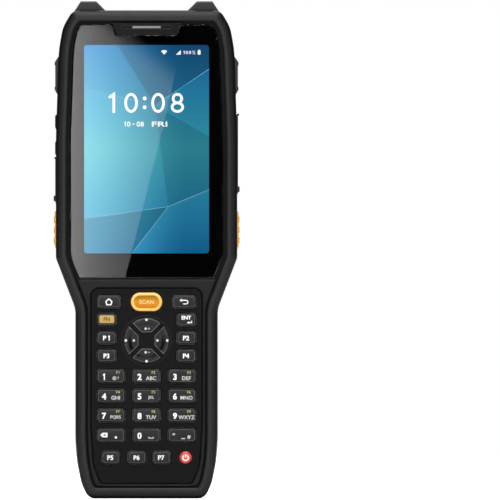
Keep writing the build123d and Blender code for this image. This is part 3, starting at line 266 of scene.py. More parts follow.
# the same ABS, its upper corner pads greyer than the smooth flanks and spine, hump and foot lighter, part
# bead-blast grain and part painted light; its hollows painted black as shade
REAR_ABS = moulded("rear_moulded_abs", "#030303", "#2a2a2b", edge=0.9, painted_light_zones=(blasted, "#484849", 0.04, 0.3))
# the earpiece's polished black bezel, its turned-over edges painted bright as highlight
BEZEL = moulded("bezel_polished_black_abs", "#050505", "#4a4a4b", edge=0.25, rough=0.3, depth=0.002,
                Specular_IOR_Level=0.12)
# the speaker plate's ABS: the same grain, painted lightest on its outer plane, with painted shade in its
# dish, holes and top
GRILLE = moulded("grille_moulded_abs", "#020202", "#262627", edge=0.2,
                 painted_light_zones=(plate_relief, "#171718", 0.0, 0.2))
# plain black ABS of the latches and the small inner fittings
FITTING = moulded("fitting_moulded_abs", "#0c0c0d", "#303031", edge=0.5, Specular_IOR_Level=0.16)
# the battery door's ABS has a coarser grain, so it looks a shade greyer and flatter; its edges are painted
# pale, part wear and part painted highlight
DOOR = moulded("door_moulded_abs", "#111112", "#5c5c5d", grain=0.55, edge=0.45, rough=0.45, depth=0.01,
               Specular_IOR_Level=0.2)
# the keypad's cover plate: smooth moulded polycarbonate, satin, as dark as the housing; its edges painted
# pale as highlight
PLATE = moulded("plate_satin_polycarbonate", "#0a0a0b", "#3c3c3d", grain=0.3, edge=0.35, depth=0.003,
                Specular_IOR_Level=0.09)
# soft TPU moulded over the corners: matt, slightly chalky, with no clear reflection
TPU = moulded("bumper_soft_tpu", "#181819", "#29292a", grain=0.5, edge=0.6, rough=0.62, depth=0.01,
              Sheen_Weight=0.12, Sheen_Roughness=0.6)
# silicone rubber of the port covers: dull black with a fine dusting
RUBBER = moulded("cover_silicone_rubber", "#0c0c0d", "#171718", grain=0.3, edge=0.5, rough=0.68, depth=0.008,
                 Sheen_Weight=0.08, Sheen_Roughness=0.5)
# hard-coated polycarbonate key caps: near black and smooth, with a thin bright line round the edge painted on
# as highlight, and the web in the gap painted black as shade
KEY_GREY = moulded("key_hard_coated_polycarbonate", "#010101", "#a8a8a9", grain=0.25, edge=0.4, rough=0.3,
                   depth=0.002, painted_light_zones=(cap_only, "#0a0a0b", 0.0, 0.04), coat=0.45, Coat_Roughness=0.28)


def orange_key():
    """Tinted glossy polycarbonate: deep orange, with a painted highlight in paler orange along its edges."""
    made, tree, shader, place = finish("key_orange_polycarbonate", Roughness=0.22, Coat_Weight=0.6,
                                       Coat_Roughness=0.06, Subsurface_Weight=0.12,
                                       Subsurface_Scale=0.8 * MM, Subsurface_Radius=(1.0, 0.45, 0.1))
    dye = mottled(tree, place, 0.5, "#dc8a08", "#e59a1c")[1]
    soft, rim = soft_edge(tree, 0.7, 0.999, 0.90)
    # painted highlight: the edges turn pale orange
    mix = add(tree, "MixRGB", {"Fac": rim, "Color1": dye, "Color2": linear("#f6d078")})
    wire(tree, shader, Base_Color=mix.outputs[0], Normal=soft)
    return made


def scan_cap():
    """The round-ended orange cap: painted highlight on its bead, painted shade by height in its sunk middle.
    """
    made, tree, shader, place = finish("key_orange_cap_painted_light", Roughness=0.3,
                                       Specular_IOR_Level=0.1, Coat_Roughness=0.15)
    x, z = middle_of("key_scan")
    cap = cap_only(tree, place)
    axes = add(tree, "SeparateXYZ", {0: add(tree, "VectorMath", {0: place, 1: (x * MM, 0, z * MM)},
                                            operation="SUBTRACT").outputs[0]})
    along = add(tree, "Math", {0: axes.outputs["X"]}, operation="ABSOLUTE")
    beyond = add(tree, "Math", {0: along.outputs[0], 1: SCAN_RUN * MM}, operation="SUBTRACT")
    end = add(tree, "Math", {0: beyond.outputs[0], 1: 0.0}, operation="MAXIMUM")
    flat = add(tree, "CombineXYZ", {"X": end.outputs[0], "Z": axes.outputs["Z"]})
    reach = add(tree, "VectorMath", {0: flat.outputs[0]}, operation="LENGTH")
    # painted highlight on the raised bead
    bead = add(tree, "MapRange", {"Value": reach.outputs["Value"], "From Min": SCAN_BEAD_HIGHLIGHT[0] * MM,
                                  "From Max": SCAN_BEAD_HIGHLIGHT[1] * MM})
    # painted shade: the sunk middle's orange darkens and lightens with height
    deep = add(tree, "ValToRGB", {"Fac": mask_along(tree, place, "Z", z - SCAN_SHADE_REACH, z + SCAN_SHADE_REACH)},
               stops=[(0.0, "#c06c00"), (1.0, "#9c6200"), (0.45, "#c88a14"), (0.7, "#b47a08")])
    pale = mottled(tree, place, 0.5, "#f0bd62", "#f7c878")[1]
    mix = add(tree, "MixRGB", {"Fac": bead.outputs[0], "Color1": deep.outputs[0], "Color2": pale})
    # the web in the gap painted near black as shade
    dye_and_painted_light = add(tree, "MixRGB", {"Fac": cap, "Color1": linear("#020201"), "Color2": mix.outputs[0]})
    soft = add(tree, "Bevel", {"Radius": 0.35 * MM}, samples=8)
    coat = add(tree, "Math", {0: cap, 1: 0.2}, operation="MULTIPLY")
    wire(tree, shader, Base_Color=dye_and_painted_light.outputs[0], Coat_Weight=coat.outputs[0], Normal=soft.outputs[0])
    return made


def red_key():
    """Tinted glossy polycarbonate, red, painted darker towards the rim as shade."""
    made, tree, shader, place = finish("key_red_polycarbonate", Roughness=0.3, Specular_IOR_Level=0.2,
                                       Coat_Roughness=0.06)
    cap = cap_only(tree, place)
    # painted shade: the red darkens towards the rim
    edge = mask_round(tree, place, *middle_of("key_power"), *RED_RIM_SHADE)
    inner = mottled(tree, place, 0.5, "#cf4a44", "#d8615a")[1]
    dye = add(tree, "MixRGB", {"Fac": edge, "Color1": inner, "Color2": linear("#8e1d1a")})
    # the web in the gap painted near black as shade
    dye_and_painted_light = add(tree, "MixRGB", {"Fac": cap, "Color1": linear("#020101"), "Color2": dye.outputs[0]})
    soft = add(tree, "Bevel", {"Radius": 0.6 * MM}, samples=8)
    wire(tree, shader, Base_Color=dye_and_painted_light.outputs[0], Coat_Weight=cap, Normal=soft.outputs[0])
    return made


def cover_glass(name, smear=0.03, edge=0.25):
    """Chemically hardened float glass: clear and mirror smooth, with faint wiping marks in its gloss."""
    made, tree, shader, place = finish(name, Base_Color=linear("#ffffff"), Transmission_Weight=1.0, IOR=1.5)
    wipes = add(tree, "TexNoise", {"Vector": place, "Scale": 1 / (18 * MM), "Detail": 4.0, "Distortion": 1.5})
    gloss = add(tree, "MapRange", {"Value": wipes.outputs["Fac"], "From Min": 0.45, "From Max": 0.8,
                                   "To Min": 0.0, "To Max": smear})
    soft = add(tree, "Bevel", {"Radius": edge * MM}, samples=6)
    wire(tree, shader, Roughness=gloss.outputs[0], Normal=soft.outputs[0])
    return made


def printed_ink(name, colour, rough=0.5, fleck="#000000", flecks=0.06, **values):
    """Screen-printed ink: a thin even layer with tiny flecks where the mesh left less of it."""
    made, tree, shader, place = finish(name, Roughness=rough, **values)
    grain = add(tree, "TexNoise", {"Vector": place, "Scale": 1 / (0.15 * MM), "Detail": 1.0})
    mix = add(tree, "MapRange", {"Value": grain.outputs["Fac"], "From Min": 0.35, "From Max": 0.65,
                                 "To Min": 0.0, "To Max": flecks})
    tone = add(tree, "MixRGB", {"Fac": mix.outputs[0], "Color1": linear(colour), "Color2": linear(fleck)})
    wire(tree, shader, Base_Color=tone.outputs[0])
    return made


UNLIT = {"Base_Color": linear("#000000"), "Specular_IOR_Level": 0.0}   # a face that only shines by itself
BAND = 0.314                    # how far apart a wave texture's bands lie at scale 1
PIXEL_ROWS = BAND / (0.7 * MM)  # drawn much coarser than real, so that they still show close up


def lit_picture():
    """The display's lit picture: teal in the middle, blue at both ends, in large soft facets."""
    made, tree, shader, place = finish("display_lit_picture", **UNLIT, Emission_Strength=1.0)
    across = add(tree, "MapRange", {"Value": add(tree, "SeparateXYZ", {0: place}).outputs["X"],
                                    "From Min": -LIT_HALF * MM, "From Max": 0.7 * LIT_HALF * MM},
                 interpolation_type="SMOOTHSTEP")
    high = mask_along(tree, place, "Z", LIT_LOW, LIT_HIGH)
    left = add(tree, "ValToRGB", {"Fac": high}, stops=[(0.0, "#48b2e3"), (1.0, "#34a5e4"), (0.5, "#70d6e4"),
                                                       (0.25, "#59c3e1"), (0.75, "#56c1e5")])
    right = add(tree, "ValToRGB", {"Fac": high}, stops=[(0.0, "#0f5c8b"), (1.0, "#1a598f"), (0.5, "#3292a4"),
                                                        (0.25, "#24799c"), (0.8, "#2476a0")])
    base = add(tree, "MixRGB", {"Fac": across.outputs[0], "Color1": left.outputs[0],
                                "Color2": right.outputs[0]})
    facet = add(tree, "VertexColor", layer_name="facet")
    lit = add(tree, "MixRGB", {"Fac": 1.0, "Color1": base.outputs[0], "Color2": facet.outputs["Color"]},
              blend_type="MULTIPLY")
    rows = add(tree, "TexWave", {"Vector": place, "Scale": PIXEL_ROWS}, bands_direction="Z")
    level = add(tree, "MapRange", {"Value": rows.outputs["Fac"], "To Min": 1.12, "To Max": 1.2})
    glow = add(tree, "VectorMath", {0: lit.outputs[0], "Scale": level.outputs[0]}, operation="SCALE")
    wire(tree, shader, Emission_Color=glow.outputs[0])
    return made


def lit_icon():
    """White picture elements: they shine a little above the picture round them."""
    made, tree, shader, place = finish("display_lit_white", **UNLIT, Emission_Strength=1.1)
    rows = add(tree, "TexWave", {"Vector": place, "Scale": PIXEL_ROWS}, bands_direction="Z")
    glow = add(tree, "ValToRGB", {"Fac": rows.outputs["Fac"]}, stops=[(0.0, "#f4f8fa"), (1.0, "#ffffff")])
    wire(tree, shader, Emission_Color=glow.outputs[0])
    return made


def lit_line():
    """Thin pale lines where two facets of the picture meet."""
    made, tree, shader, place = finish("display_lit_line", **UNLIT, Emission_Strength=1.0)
    glow = mottled(tree, place, 12, "#55a9c9", "#9fdcec", 0.35, 0.65, detail=1.0)[1]
    wire(tree, shader, Emission_Color=glow)
    return made


def blackened_steel():
    """Black zinc-plated screws: dark metal with turned rings in the gloss."""
    made, tree, shader, place = finish("screw_blackened_steel", Metallic=1.0)
    grain, tone = mottled(tree, place, 0.12, "#212123", "#353537")
    gloss = add(tree, "MapRange", {"Value": grain, "To Min": 0.25, "To Max": 0.45})
    soft = add(tree, "Bevel", {"Radius": 0.15 * MM}, samples=6)
    wire(tree, shader, Base_Color=tone, Roughness=gloss.outputs[0], Normal=soft.outputs[0])
    return made


def steel_mesh():
    """Etched stainless mesh over the earpiece: bright points with dark holes between them."""
    made, tree, shader, place = finish("mesh_etched_stainless", Metallic=1.0, Roughness=0.5)
    holes = add(tree, "TexVoronoi", {"Vector": place, "Scale": 1 / (0.35 * MM), "Randomness": 0.0})
    tone = add(tree, "ValToRGB", {"Fac": holes.outputs["Distance"]},
               stops=[(0.2, "#2c2c2c"), (0.35, "#8f8f92")])
    bump = add(tree, "Bump", {"Height": holes.outputs["Distance"], "Strength": 0.7, "Distance": 0.05 * MM})
    wire(tree, shader, Base_Color=tone.outputs[0], Normal=bump.outputs[0])
    return made


def sheet_metal():
    """Stamped steel of the inner frame: pale grey with rolling marks along it."""
    made, tree, shader, place = finish("frame_rolled_steel", Metallic=1.0, Roughness=0.38)
    drawn = add(tree, "Mapping", {"Vector": place, "Scale": (1.0, 1.0, 0.04)})
    wire(tree, shader, Base_Color=mottled(tree, drawn.outputs[0], 0.3, "#8d8f90", "#a9abac")[1])
    return made


def circuit_board():
    """FR-4 board: green solder mask over copper tracks, a little glossy."""
    made, tree, shader, place = finish("board_green_fr4", Roughness=0.35)
    tracks = add(tree, "TexBrick", {"Vector": place, "Scale": 1 / (6 * MM), "Mortar Size": 0.03,
                                    "Color1": linear("#12502d"), "Color2": linear("#175c35"),
                                    "Mortar": linear("#2d7a4a")})
    bump = add(tree, "Bump", {"Height": tracks.outputs["Fac"], "Strength": 0.4, "Distance": 0.03 * MM})
    wire(tree, shader, Base_Color=tracks.outputs["Color"], Normal=bump.outputs[0])
    return made


def cell_wrap():
    """The battery cell's matt foil wrap, with faint creases."""
    made, tree, shader, place = finish("cell_foil_wrap", Metallic=0.3, Roughness=0.45)
    crease, tone = mottled(tree, place, 9, "#27407a", "#30508f", detail=3.0, swirl=0.8)
    bump = add(tree, "Bump", {"Height": crease, "Strength": 0.3, "Distance": 0.3 * MM})
    wire(tree, shader, Base_Color=tone, Normal=bump.outputs[0])
    return made


def nickel():
    """Nickel-plated sockets and contacts: warm pale metal, fairly bright."""
    made, tree, shader, place = finish("socket_nickel_plate", Metallic=1.0)
    haze, tone = mottled(tree, place, 1.5, "#b3ada2", "#c9c4ba")
    gloss = add(tree, "MapRange", {"Value": haze, "To Min": 0.2, "To Max": 0.35})
    wire(tree, shader, Base_Color=tone, Roughness=gloss.outputs[0])
    return made


def scan_window_tint():
    """The scan window's dark red-black polycarbonate: nearly opaque, coated so that it hardly shines."""
    made, tree, shader, place = finish("scan_window_dark_polycarbonate", Roughness=0.25,
                                       Specular_IOR_Level=0.0)
    wire(tree, shader, Base_Color=mottled(tree, place, 8, "#040202", "#080404")[1])
    return made


def phosphor():
    """The flash lens: clear moulded steps round a yellow phosphor chip, inside a milky white ring."""
    made, tree, shader, place = finish("flash_lens_phosphor", Roughness=0.25)
    rings = mask_round(tree, place, *middle_of("flash_lens"), 0.0, FLASH_REACH)
    tone = add(tree, "ValToRGB", {"Fac": rings},
               stops=[(0.0, "#a29d6a"), (1.0, "#acada9"), (0.3, "#aaa78c"), (0.36, "#85846f"),
                      (0.42, "#b6b6b0")])
    steps = add(tree, "TexWave", {"Vector": place, "Scale": BAND / (0.8 * MM)}, bands_direction="Z")
    bump = add(tree, "Bump", {"Height": steps.outputs["Fac"], "Strength": 0.4, "Distance": 0.05 * MM})
    wire(tree, shader, Base_Color=tone.outputs[0], Normal=bump.outputs[0])
    return made


def lens_coating():
    """The camera lens: coated glass elements as dark and steel-blue rings, with a pale painted glint to one
    side.
    """
    made, tree, shader, place = finish("lens_coated_glass", Roughness=0.1, Coat_Weight=1.0,
                                       Coat_Roughness=0.02)
    x, z = middle_of("camera_module")
    rings = mask_round(tree, place, x, z, 0.0, LENS_REACH)
    tone = add(tree, "ValToRGB", {"Fac": rings},
               stops=[(0.0, "#0b0d14"), (1.0, "#474c50"), (0.28, "#10131c"), (0.34, "#3b4860"),
                      (0.5, "#171b24"), (0.62, "#0a0b0e"), (0.72, "#4a525a"), (0.86, "#6c7276")])
    glint = mask_round(tree, place, x + GLINT_AT[0], z + GLINT_AT[1], *GLINT_REACH)
    # painted glint mixed into the colour
    mix = add(tree, "MixRGB", {"Fac": glint, "Color1": tone.outputs[0], "Color2": linear("#cfdcec")})
    wire(tree, shader, Base_Color=mix.outputs[0])
    return made


KEY_ORANGE = orange_key()
KEY_SCAN = scan_cap()
KEY_RED = red_key()
SCREEN_GLASS = cover_glass("screen_hardened_glass", edge=0.5)
BACK_GLASS = cover_glass("window_hardened_glass", 0.02)
BORDER_INK = printed_ink("glass_black_ink", "#020202", 0.6, Specular_IOR_Level=0.0)
WHITE_INK = printed_ink("legend_white_ink", "#f2f2f2")
GREY_INK = printed_ink("legend_grey_ink", "#cfcfcf")
OLIVE_INK = printed_ink("legend_olive_ink", "#c4b862")
AMBER_INK = printed_ink("legend_amber_ink", "#bc994a", fleck="#8a5a14", flecks=0.3)
BROWN_INK = printed_ink("legend_brown_ink", "#5a3a12")
CREAM_INK = printed_ink("legend_cream_ink", "#e6bd74")
# a faint glow added to the yellow ink as painted light, so that it reads brighter behind the pane
YELLOW_INK = printed_ink("field_yellow_ink", "#eedd1e", fleck="#d2c010", flecks=0.12, Specular_IOR_Level=0.0,
                         Emission_Color=linear("#e8d516"), Emission_Strength=0.06)
PICTURE = lit_picture()
LIT_WHITE = lit_icon()
LIT_LINE = lit_line()
SCREW = blackened_steel()
STEEL_MESH = steel_mesh()
METAL = sheet_metal()
BOARD = circuit_board()
CELL = cell_wrap()
NICKEL = nickel()
SCAN_TINT = scan_window_tint()
PHOSPHOR = phosphor()
LENS = lens_coating()

NODE_FINISH = {
    "front_housing": FRONT_ABS, "rear_housing": REAR_ABS, "horn_bumpers": TPU, "side_bumpers": TPU,
    "screen_glass": SCREEN_GLASS, "display_module": METAL, "earpiece_bezel": BEZEL,
    "earpiece_mesh": STEEL_MESH, "keypad_plate": PLATE, "keypad_membrane": RUBBER, "keypad_board": BOARD,
    "chassis_frame": METAL, "main_board": BOARD, "connectors": NICKEL, "scan_window": SCAN_TINT,
    "scan_engine": FITTING, "back_window": BACK_GLASS, "camera_module": LENS, "flash_lens": PHOSPHOR,
    "speaker_plate": GRILLE, "speaker_unit": FITTING, "housing_screws": SCREW, "battery_door": DOOR,
    "battery_cell": CELL, "latch_right": FITTING, "latch_left": FITTING, "scan_key_left": KEY_ORANGE,
    "scan_key_right": KEY_ORANGE, "volume_rocker": PLATE, "port_cover_left": RUBBER,
    "port_cover_right": RUBBER, "key_scan": KEY_SCAN, "key_power": KEY_RED,
}
for node_name, node in NODES.items():
    node.data.materials.clear()
    node.data.materials.append(NODE_FINISH.get(node_name, KEY_GREY))


# ---------------------------------------------------------------- thin shapes in a plane
def arc(x, z, radius, start, end, steps=10):
    """Points on a circle between two angles in degrees."""
    turns = [math.radians(start + (end - start) * i / steps) for i in range(steps + 1)]
    return [(x + radius * math.cos(t), z + radius * math.sin(t)) for t in turns]


def round_box(x, z, width, height, radius, steps=5):
    """A rectangle with round corners about a middle point."""
    across, up = width / 2 - radius, height / 2 - radius
    corners = ((across, up, 0), (-across, up, 90), (-across, -up, 180), (across, -up, 270))
    return [p for dx, dz, a in corners for p in arc(x + dx, z + dz, radius, a, a + 90, steps)]


def stamp(sheet, outline, ink=0, depth=0.0, thick=INK):
    """Adds a thin closed plate with that outline to the sheet."""
    front = [sheet.verts.new((x, depth - thick, z)) for x, z in outline]
    rear = [sheet.verts.new((x, depth, z)) for x, z in outline]
    faces = [sheet.faces.new(front), sheet.faces.new(rear[::-1])]
    for i in range(len(outline)):
        j = (i + 1) % len(outline)
        faces.append(sheet.faces.new((front[j], front[i], rear[i], rear[j])))
    for face in faces:
        face.material_index = ink


def stroke(sheet, path, width, ink=0, depth=0.0, closed=False):
    """Adds a band of even width along a path."""
    count = len(path)
    sides = []
    for i, (x, z) in enumerate(path):
        before = path[i - 1] if i or closed else path[i]
        after = path[(i + 1) % count] if i < count - 1 or closed else path[i]
        into = Vector((x - before[0], z - before[1]))
        out = Vector((after[0] - x, after[1] - z))
        into = (into if into.length else out).normalized()
        out = (out if out.length else into).normalized()
        middle = (into + out).normalized()
        reach = width / 2 / max(0.35, middle.dot(into))
        side = Vector((-middle.y, middle.x)) * reach
        sides.append(((x + side.x, z + side.y), (x - side.x, z - side.y)))
    last = count if closed else count - 1
    for i in range(last):
        (a, b), (c, d) = sides[i], sides[(i + 1) % count]
        stamp(sheet, [a, b, d, c], ink, depth)


def shell(sheet, rings):
    """Adds a closed skin over rings of points, each with the same count."""
    rings = [[sheet.verts.new(point) for point in ring] for ring in rings]
    sheet.faces.new(rings[0][::-1])
    sheet.faces.new(rings[-1])
    for before, after in zip(rings, rings[1:]):
        for i in range(len(before)):
            j = (i + 1) % len(before)
            sheet.faces.new((before[i], before[j], after[j], after[i]))


def write(sheet, words, x, z, height, ink=0, bold=0.0, depth=0.0, width=None):
    """Adds words whose letters are that high, about a middle point."""
    text = bpy.data.curves.new("words", "FONT")
    text.body, text.extrude, text.offset, text.resolution_u = words, 0.01, bold, 3
    holder = bpy.data.objects.new("words", text)
    bpy.context.scene.collection.objects.link(holder)
    bpy.context.view_layer.update()
    outline = bpy.data.meshes.new_from_object(holder)
    bpy.data.objects.remove(holder)
    xs = [v.co.x for v in outline.vertices]
    ys = [v.co.y for v in outline.vertices]
    size_y = height / (max(ys) - min(ys))
    size_x = width / (max(xs) - min(xs)) if width else size_y
    centre = ((max(xs) + min(xs)) / 2, (max(ys) + min(ys)) / 2)
    for v in outline.vertices:
        rise = -INK if v.co.z > 0 else 0.0
        v.co = (x + (v.co.x - centre[0]) * size_x, depth + rise, z + (v.co.y - centre[1]) * size_y)
    first = len(sheet.faces)
    sheet.from_mesh(outline)
    sheet.faces.ensure_lookup_table()
    for face in sheet.faces[first:]:
        face.material_index = ink
    bpy.data.meshes.remove(outline)


def draw_sign(sheet, sign, x, z, height, width, ink=0, depth=0.0):
    """Draws 1, 0, 8 or a colon with even strokes: the plain font's 1 can't be told from a capital I."""
    tall = height - width
    if sign == "1":
        stroke(sheet, [(x - 0.22 * tall, z + 0.3 * tall), (x + 0.06 * tall, z + 0.5 * tall),
                       (x + 0.06 * tall, z - 0.5 * tall - width / 2)], width, ink, depth)
    elif sign == ":":
        for rise in (-0.26, 0.26):
            stamp(sheet, arc(x, z + rise * tall, 0.75 * width, 0, 330, 11), ink, depth)
    rings = {"0": ((0.0, 0.32, 0.5),), "8": ((0.25, 0.25, 0.25), (-0.25, 0.31, 0.25))}.get(sign, ())
    for rise, half, reach in rings:
        turns = [2 * math.pi * i / 28 for i in range(28)]
        ring = [(x + half * tall * math.cos(t), z + (rise + reach * math.sin(t)) * tall) for t in turns]
        stroke(sheet, ring, width, ink, depth, closed=True)


def make_piece(sheet, name, finishes):
    """Turns the sheet into an object with those finishes."""
    mesh = bpy.data.meshes.new(name)
    sheet.to_mesh(mesh)
    sheet.free()
    for each in finishes:
        mesh.materials.append(each)
    piece = bpy.data.objects.new(name, mesh)
    bpy.context.scene.collection.objects.link(piece)
    return piece


CROWN_CUTS, CROWN_STEP = 7, 0.4     # a print is cut this often, and so far apart, to bend over a cap


def lay(sheet, name, finishes, body, depth, facing_back=False, crown_z=None):
    """Turns the sheet into a piece at that depth which rides on a body; a crown bends it over a key cap."""
    bmesh.ops.recalc_face_normals(sheet, faces=sheet.faces)
    if crown_z is not None:
        bmesh.ops.triangulate(sheet, faces=sheet.faces[:])
        for i in range(-CROWN_CUTS, CROWN_CUTS + 1):
            whole = sheet.verts[:] + sheet.edges[:] + sheet.faces[:]
            bmesh.ops.bisect_plane(sheet, geom=whole, plane_co=(0, 0, crown_z + CROWN_STEP * i),
                                   plane_no=(0, 0, 1))
        for v in sheet.verts:
            v.co.y += KEY_CROWN - math.sqrt(KEY_CROWN ** 2 - (v.co.z - crown_z) ** 2)
    piece = make_piece(sheet, name, finishes)
    turn = Matrix.Rotation(math.pi, 4, "Z") if facing_back else Matrix.Identity(4)
    piece.data.transform(Matrix.Diagonal((MM, MM, MM, 1)) @ Matrix.Translation((0, depth, 0)) @ turn)
    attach(piece, body)
    return piece


# ---------------------------------------------------------------- key legends
DIGIT_AT, DIGIT_HIGH = (-2.9, -0.3), 2.65       # places are from the key's middle
LETTERS_AT, LETTERS_HIGH = (1.9, -0.85), 1.6
SHIFT_AT, SHIFT_HIGH = (2.9, 1.5), 1.15
LETTERS = ("@ ?", "ABC", "DEF", "GHI", "JKL", "MNO", "PQRS", "TUV", "WXYZ")
BOLD = 0.035                    # how far a letter's outline is let out
SCAN_DISH = 0.275               # the scan key's sunk middle lies this far behind its bead


def digit_legend(sheet, x, z, digit, letters):
    """A number with its letters beside it and its shifted meaning above them."""
    right, high = x + SHIFT_AT[0], z + SHIFT_AT[1]
    if digit == "1":
        draw_sign(sheet, "1", x + DIGIT_AT[0], z + DIGIT_AT[1], DIGIT_HIGH, 0.45)
        write(sheet, "F", right - 0.4, high, SHIFT_HIGH, ink=2)
        draw_sign(sheet, "1", right + 0.4, high, SHIFT_HIGH, 0.16, ink=2)
    else:
        write(sheet, digit, x + DIGIT_AT[0], z + DIGIT_AT[1], DIGIT_HIGH, bold=BOLD)
        write(sheet, "F" + digit, right, high, SHIFT_HIGH, ink=2)
    write(sheet, letters, x + LETTERS_AT[0], z + LETTERS_AT[1], LETTERS_HIGH, ink=1, bold=BOLD * 0.4)


def program_legend(sheet, x, z, number):
    """P with the key's number."""
    if number == "1":
        write(sheet, "P", x - 0.85, z - 0.1, 2.0, bold=BOLD * 0.8)
        draw_sign(sheet, "1", x + 0.95, z - 0.1, 2.0, 0.4)
    else:
        write(sheet, "P" + number, x - 0.1, z - 0.1, 2.0, bold=BOLD * 0.8)


def home_legend(sheet, x, z):
    """The outline of a house."""
    house = [(x - 1.25, z + 0.1), (x, z + 1.25), (x + 1.25, z + 0.1), (x + 0.85, z - 1.2),
             (x - 0.85, z - 1.2)]
    stroke(sheet, house, 0.45, closed=True)


def return_legend(sheet, x, z):
    """An arrow that comes round from below and points left."""
    loop = [(x - 1.3, z + 0.65), (x + 0.8, z + 0.65)] + arc(x + 0.8, z - 0.1, 0.75, 90, -90, 8)
    stroke(sheet, loop + [(x - 0.4, z - 0.85)], 0.4)
    stamp(sheet, [(x - 0.9, z + 1.35), (x - 0.9, z - 0.05), (x - 1.9, z + 0.65)])


def enter_legend(sheet, x, z):
    """ENT, and a hooked arrow under it."""
    write(sheet, "ENT", x, z + 0.75, 1.6, bold=BOLD)
    stroke(sheet, [(x + 2.2, z - 0.5), (x + 2.2, z - 1.3), (x + 0.9, z - 1.3)], 0.32)
    stamp(sheet, [(x + 1.2, z - 0.75), (x + 1.2, z - 1.85), (x + 0.2, z - 1.3)])


def backspace_legend(sheet, x, z):
    """A tag that points left, crossed in the cap's own colour, and a full stop."""
    left = x - 2.9
    stamp(sheet, [(left - 1.6, z), (left - 0.6, z + 0.95), (left + 1.4, z + 0.95), (left + 1.4, z - 0.95),
                  (left - 0.6, z - 0.95)])
    for tilt in (1, -1):
        cross = [(left - 0.15, z - 0.45 * tilt), (left + 0.75, z + 0.45 * tilt)]
        stroke(sheet, cross, 0.28, ink=3, depth=-INK)
    stamp(sheet, arc(x + 2.0, z - 1.0, 0.5, 0, 330, 11))


def zero_legend(sheet, x, z):
    """A nought, and the mark for a space beside it."""
    write(sheet, "0", x + DIGIT_AT[0], z + DIGIT_AT[1], DIGIT_HIGH, bold=BOLD)
    space = [(x + 1.0, z - 0.7), (x + 1.0, z - 1.3), (x + 2.8, z - 1.3), (x + 2.8, z - 0.7)]
    stroke(sheet, space, 0.3, ink=1)


def star_legend(sheet, x, z):
    """A star, a low dash and a hash."""
    write(sheet, "*", x - 3.4, z + 0.1, 1.3, bold=BOLD)
    stroke(sheet, [(x - 0.3, z - 1.5), (x + 1.3, z - 1.5)], 0.28)
    write(sheet, "#", x + 2.9, z - 0.85, 1.6)


def function_legend(sheet, x, z):
    """FN on a round-cornered field."""
    stamp(sheet, round_box(x, z + 0.1, 6.1, 3.2, 0.7))
    write(sheet, "FN", x, z + 0.1, 1.7, ink=1, bold=BOLD, depth=-INK)


def scan_legend(sheet, x, z):
    """The one word on the orange cap."""
    write(sheet, "SCAN", x, z, 1.75, bold=BOLD * 0.6)


def power_legend(sheet, x, z):
    """An open ring with a stroke through its gap."""
    stroke(sheet, arc(x, z - 0.1, 1.15, 125, 415, 20), 0.42)
    stroke(sheet, [(x, z + 0.1), (x, z + 1.45)], 0.42)


def make_legend(name, draw, finishes, slot, *words, sunk=0.0, crowned=True):
    """Draws a key's legend about its middle and lays it on the cap."""
    sheet = bmesh.new()
    x, z = middle_of("key_" + name)
    draw(sheet, x, z, *words)
    lay(sheet, "legend_" + name, finishes, f"key_{name}_body", KEY_FRONT + sunk,
        crown_z=z if crowned else None)


def make_key_legends():
    """White legends on every key, with the second meanings in grey and olive."""
    inks = [WHITE_INK, GREY_INK, OLIVE_INK, KEY_GREY]
    for digit, letters in enumerate(LETTERS, 1):
        make_legend(str(digit), digit_legend, inks, "key_grey", str(digit), letters)
    for number in "1234567":
        make_legend("p" + number, program_legend, inks, "key_grey", number)
    icons = {"home": home_legend, "back": return_legend, "enter": enter_legend,
             "backspace": backspace_legend, "0": zero_legend, "star": star_legend}
    for name, draw in icons.items():
        make_legend(name, draw, inks, "key_grey")
    make_legend("fn", function_legend, [AMBER_INK, BROWN_INK], "key_amber")
    make_legend("scan", scan_legend, [CREAM_INK], "key_orange", sunk=SCAN_DISH, crowned=False)
    make_legend("power", power_legend, [WHITE_INK], "key_red", crowned=False)


PAD_X, PAD_Z = 0.0, 65.5
PAD_RING, PAD_INNER = 8.6, 4.9
PAD_DISH = 0.75                 # the quarters' inner floor lies this far behind their brim


def make_pad_marks():
    """A white dot near the rim of each quarter, and a small mark nearer the hub."""
    for name, angle in (("up", 90), ("left", 180), ("down", 270), ("right", 0)):
        sheet = bmesh.new()
        turn = math.radians(angle)
        dot = (PAD_X + PAD_RING * math.cos(turn), PAD_Z + PAD_RING * math.sin(turn))
        mark = (PAD_X + PAD_INNER * math.cos(turn), PAD_Z + PAD_INNER * math.sin(turn))
        stamp(sheet, arc(*dot, 0.5, 0, 330, 11))
        stamp(sheet, arc(mark[0] - 0.35, mark[1], 0.5, 0, 330, 11), ink=1, depth=PAD_DISH)
        if name in ("up", "down"):
            stroke(sheet, [(mark[0] + 0.6, mark[1]), (mark[0] + 1.4, mark[1])], 0.22, ink=1, depth=PAD_DISH)
        if name == "up":
            stroke(sheet, [(mark[0] + 1.0, mark[1] - 0.4), (mark[0] + 1.0, mark[1] + 0.4)], 0.22, ink=1,
                   depth=PAD_DISH)
        low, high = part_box("dpad_" + name)
        lay(sheet, "mark_" + name, [WHITE_INK, GREY_INK], f"dpad_{name}_body", low.y / MM)


# ---------------------------------------------------------------- screen
GLASS_MIDDLE = (0.0, 145.0)     # the print's outline is drawn in towards this point, to this share
GLASS_SHARE = 0.998


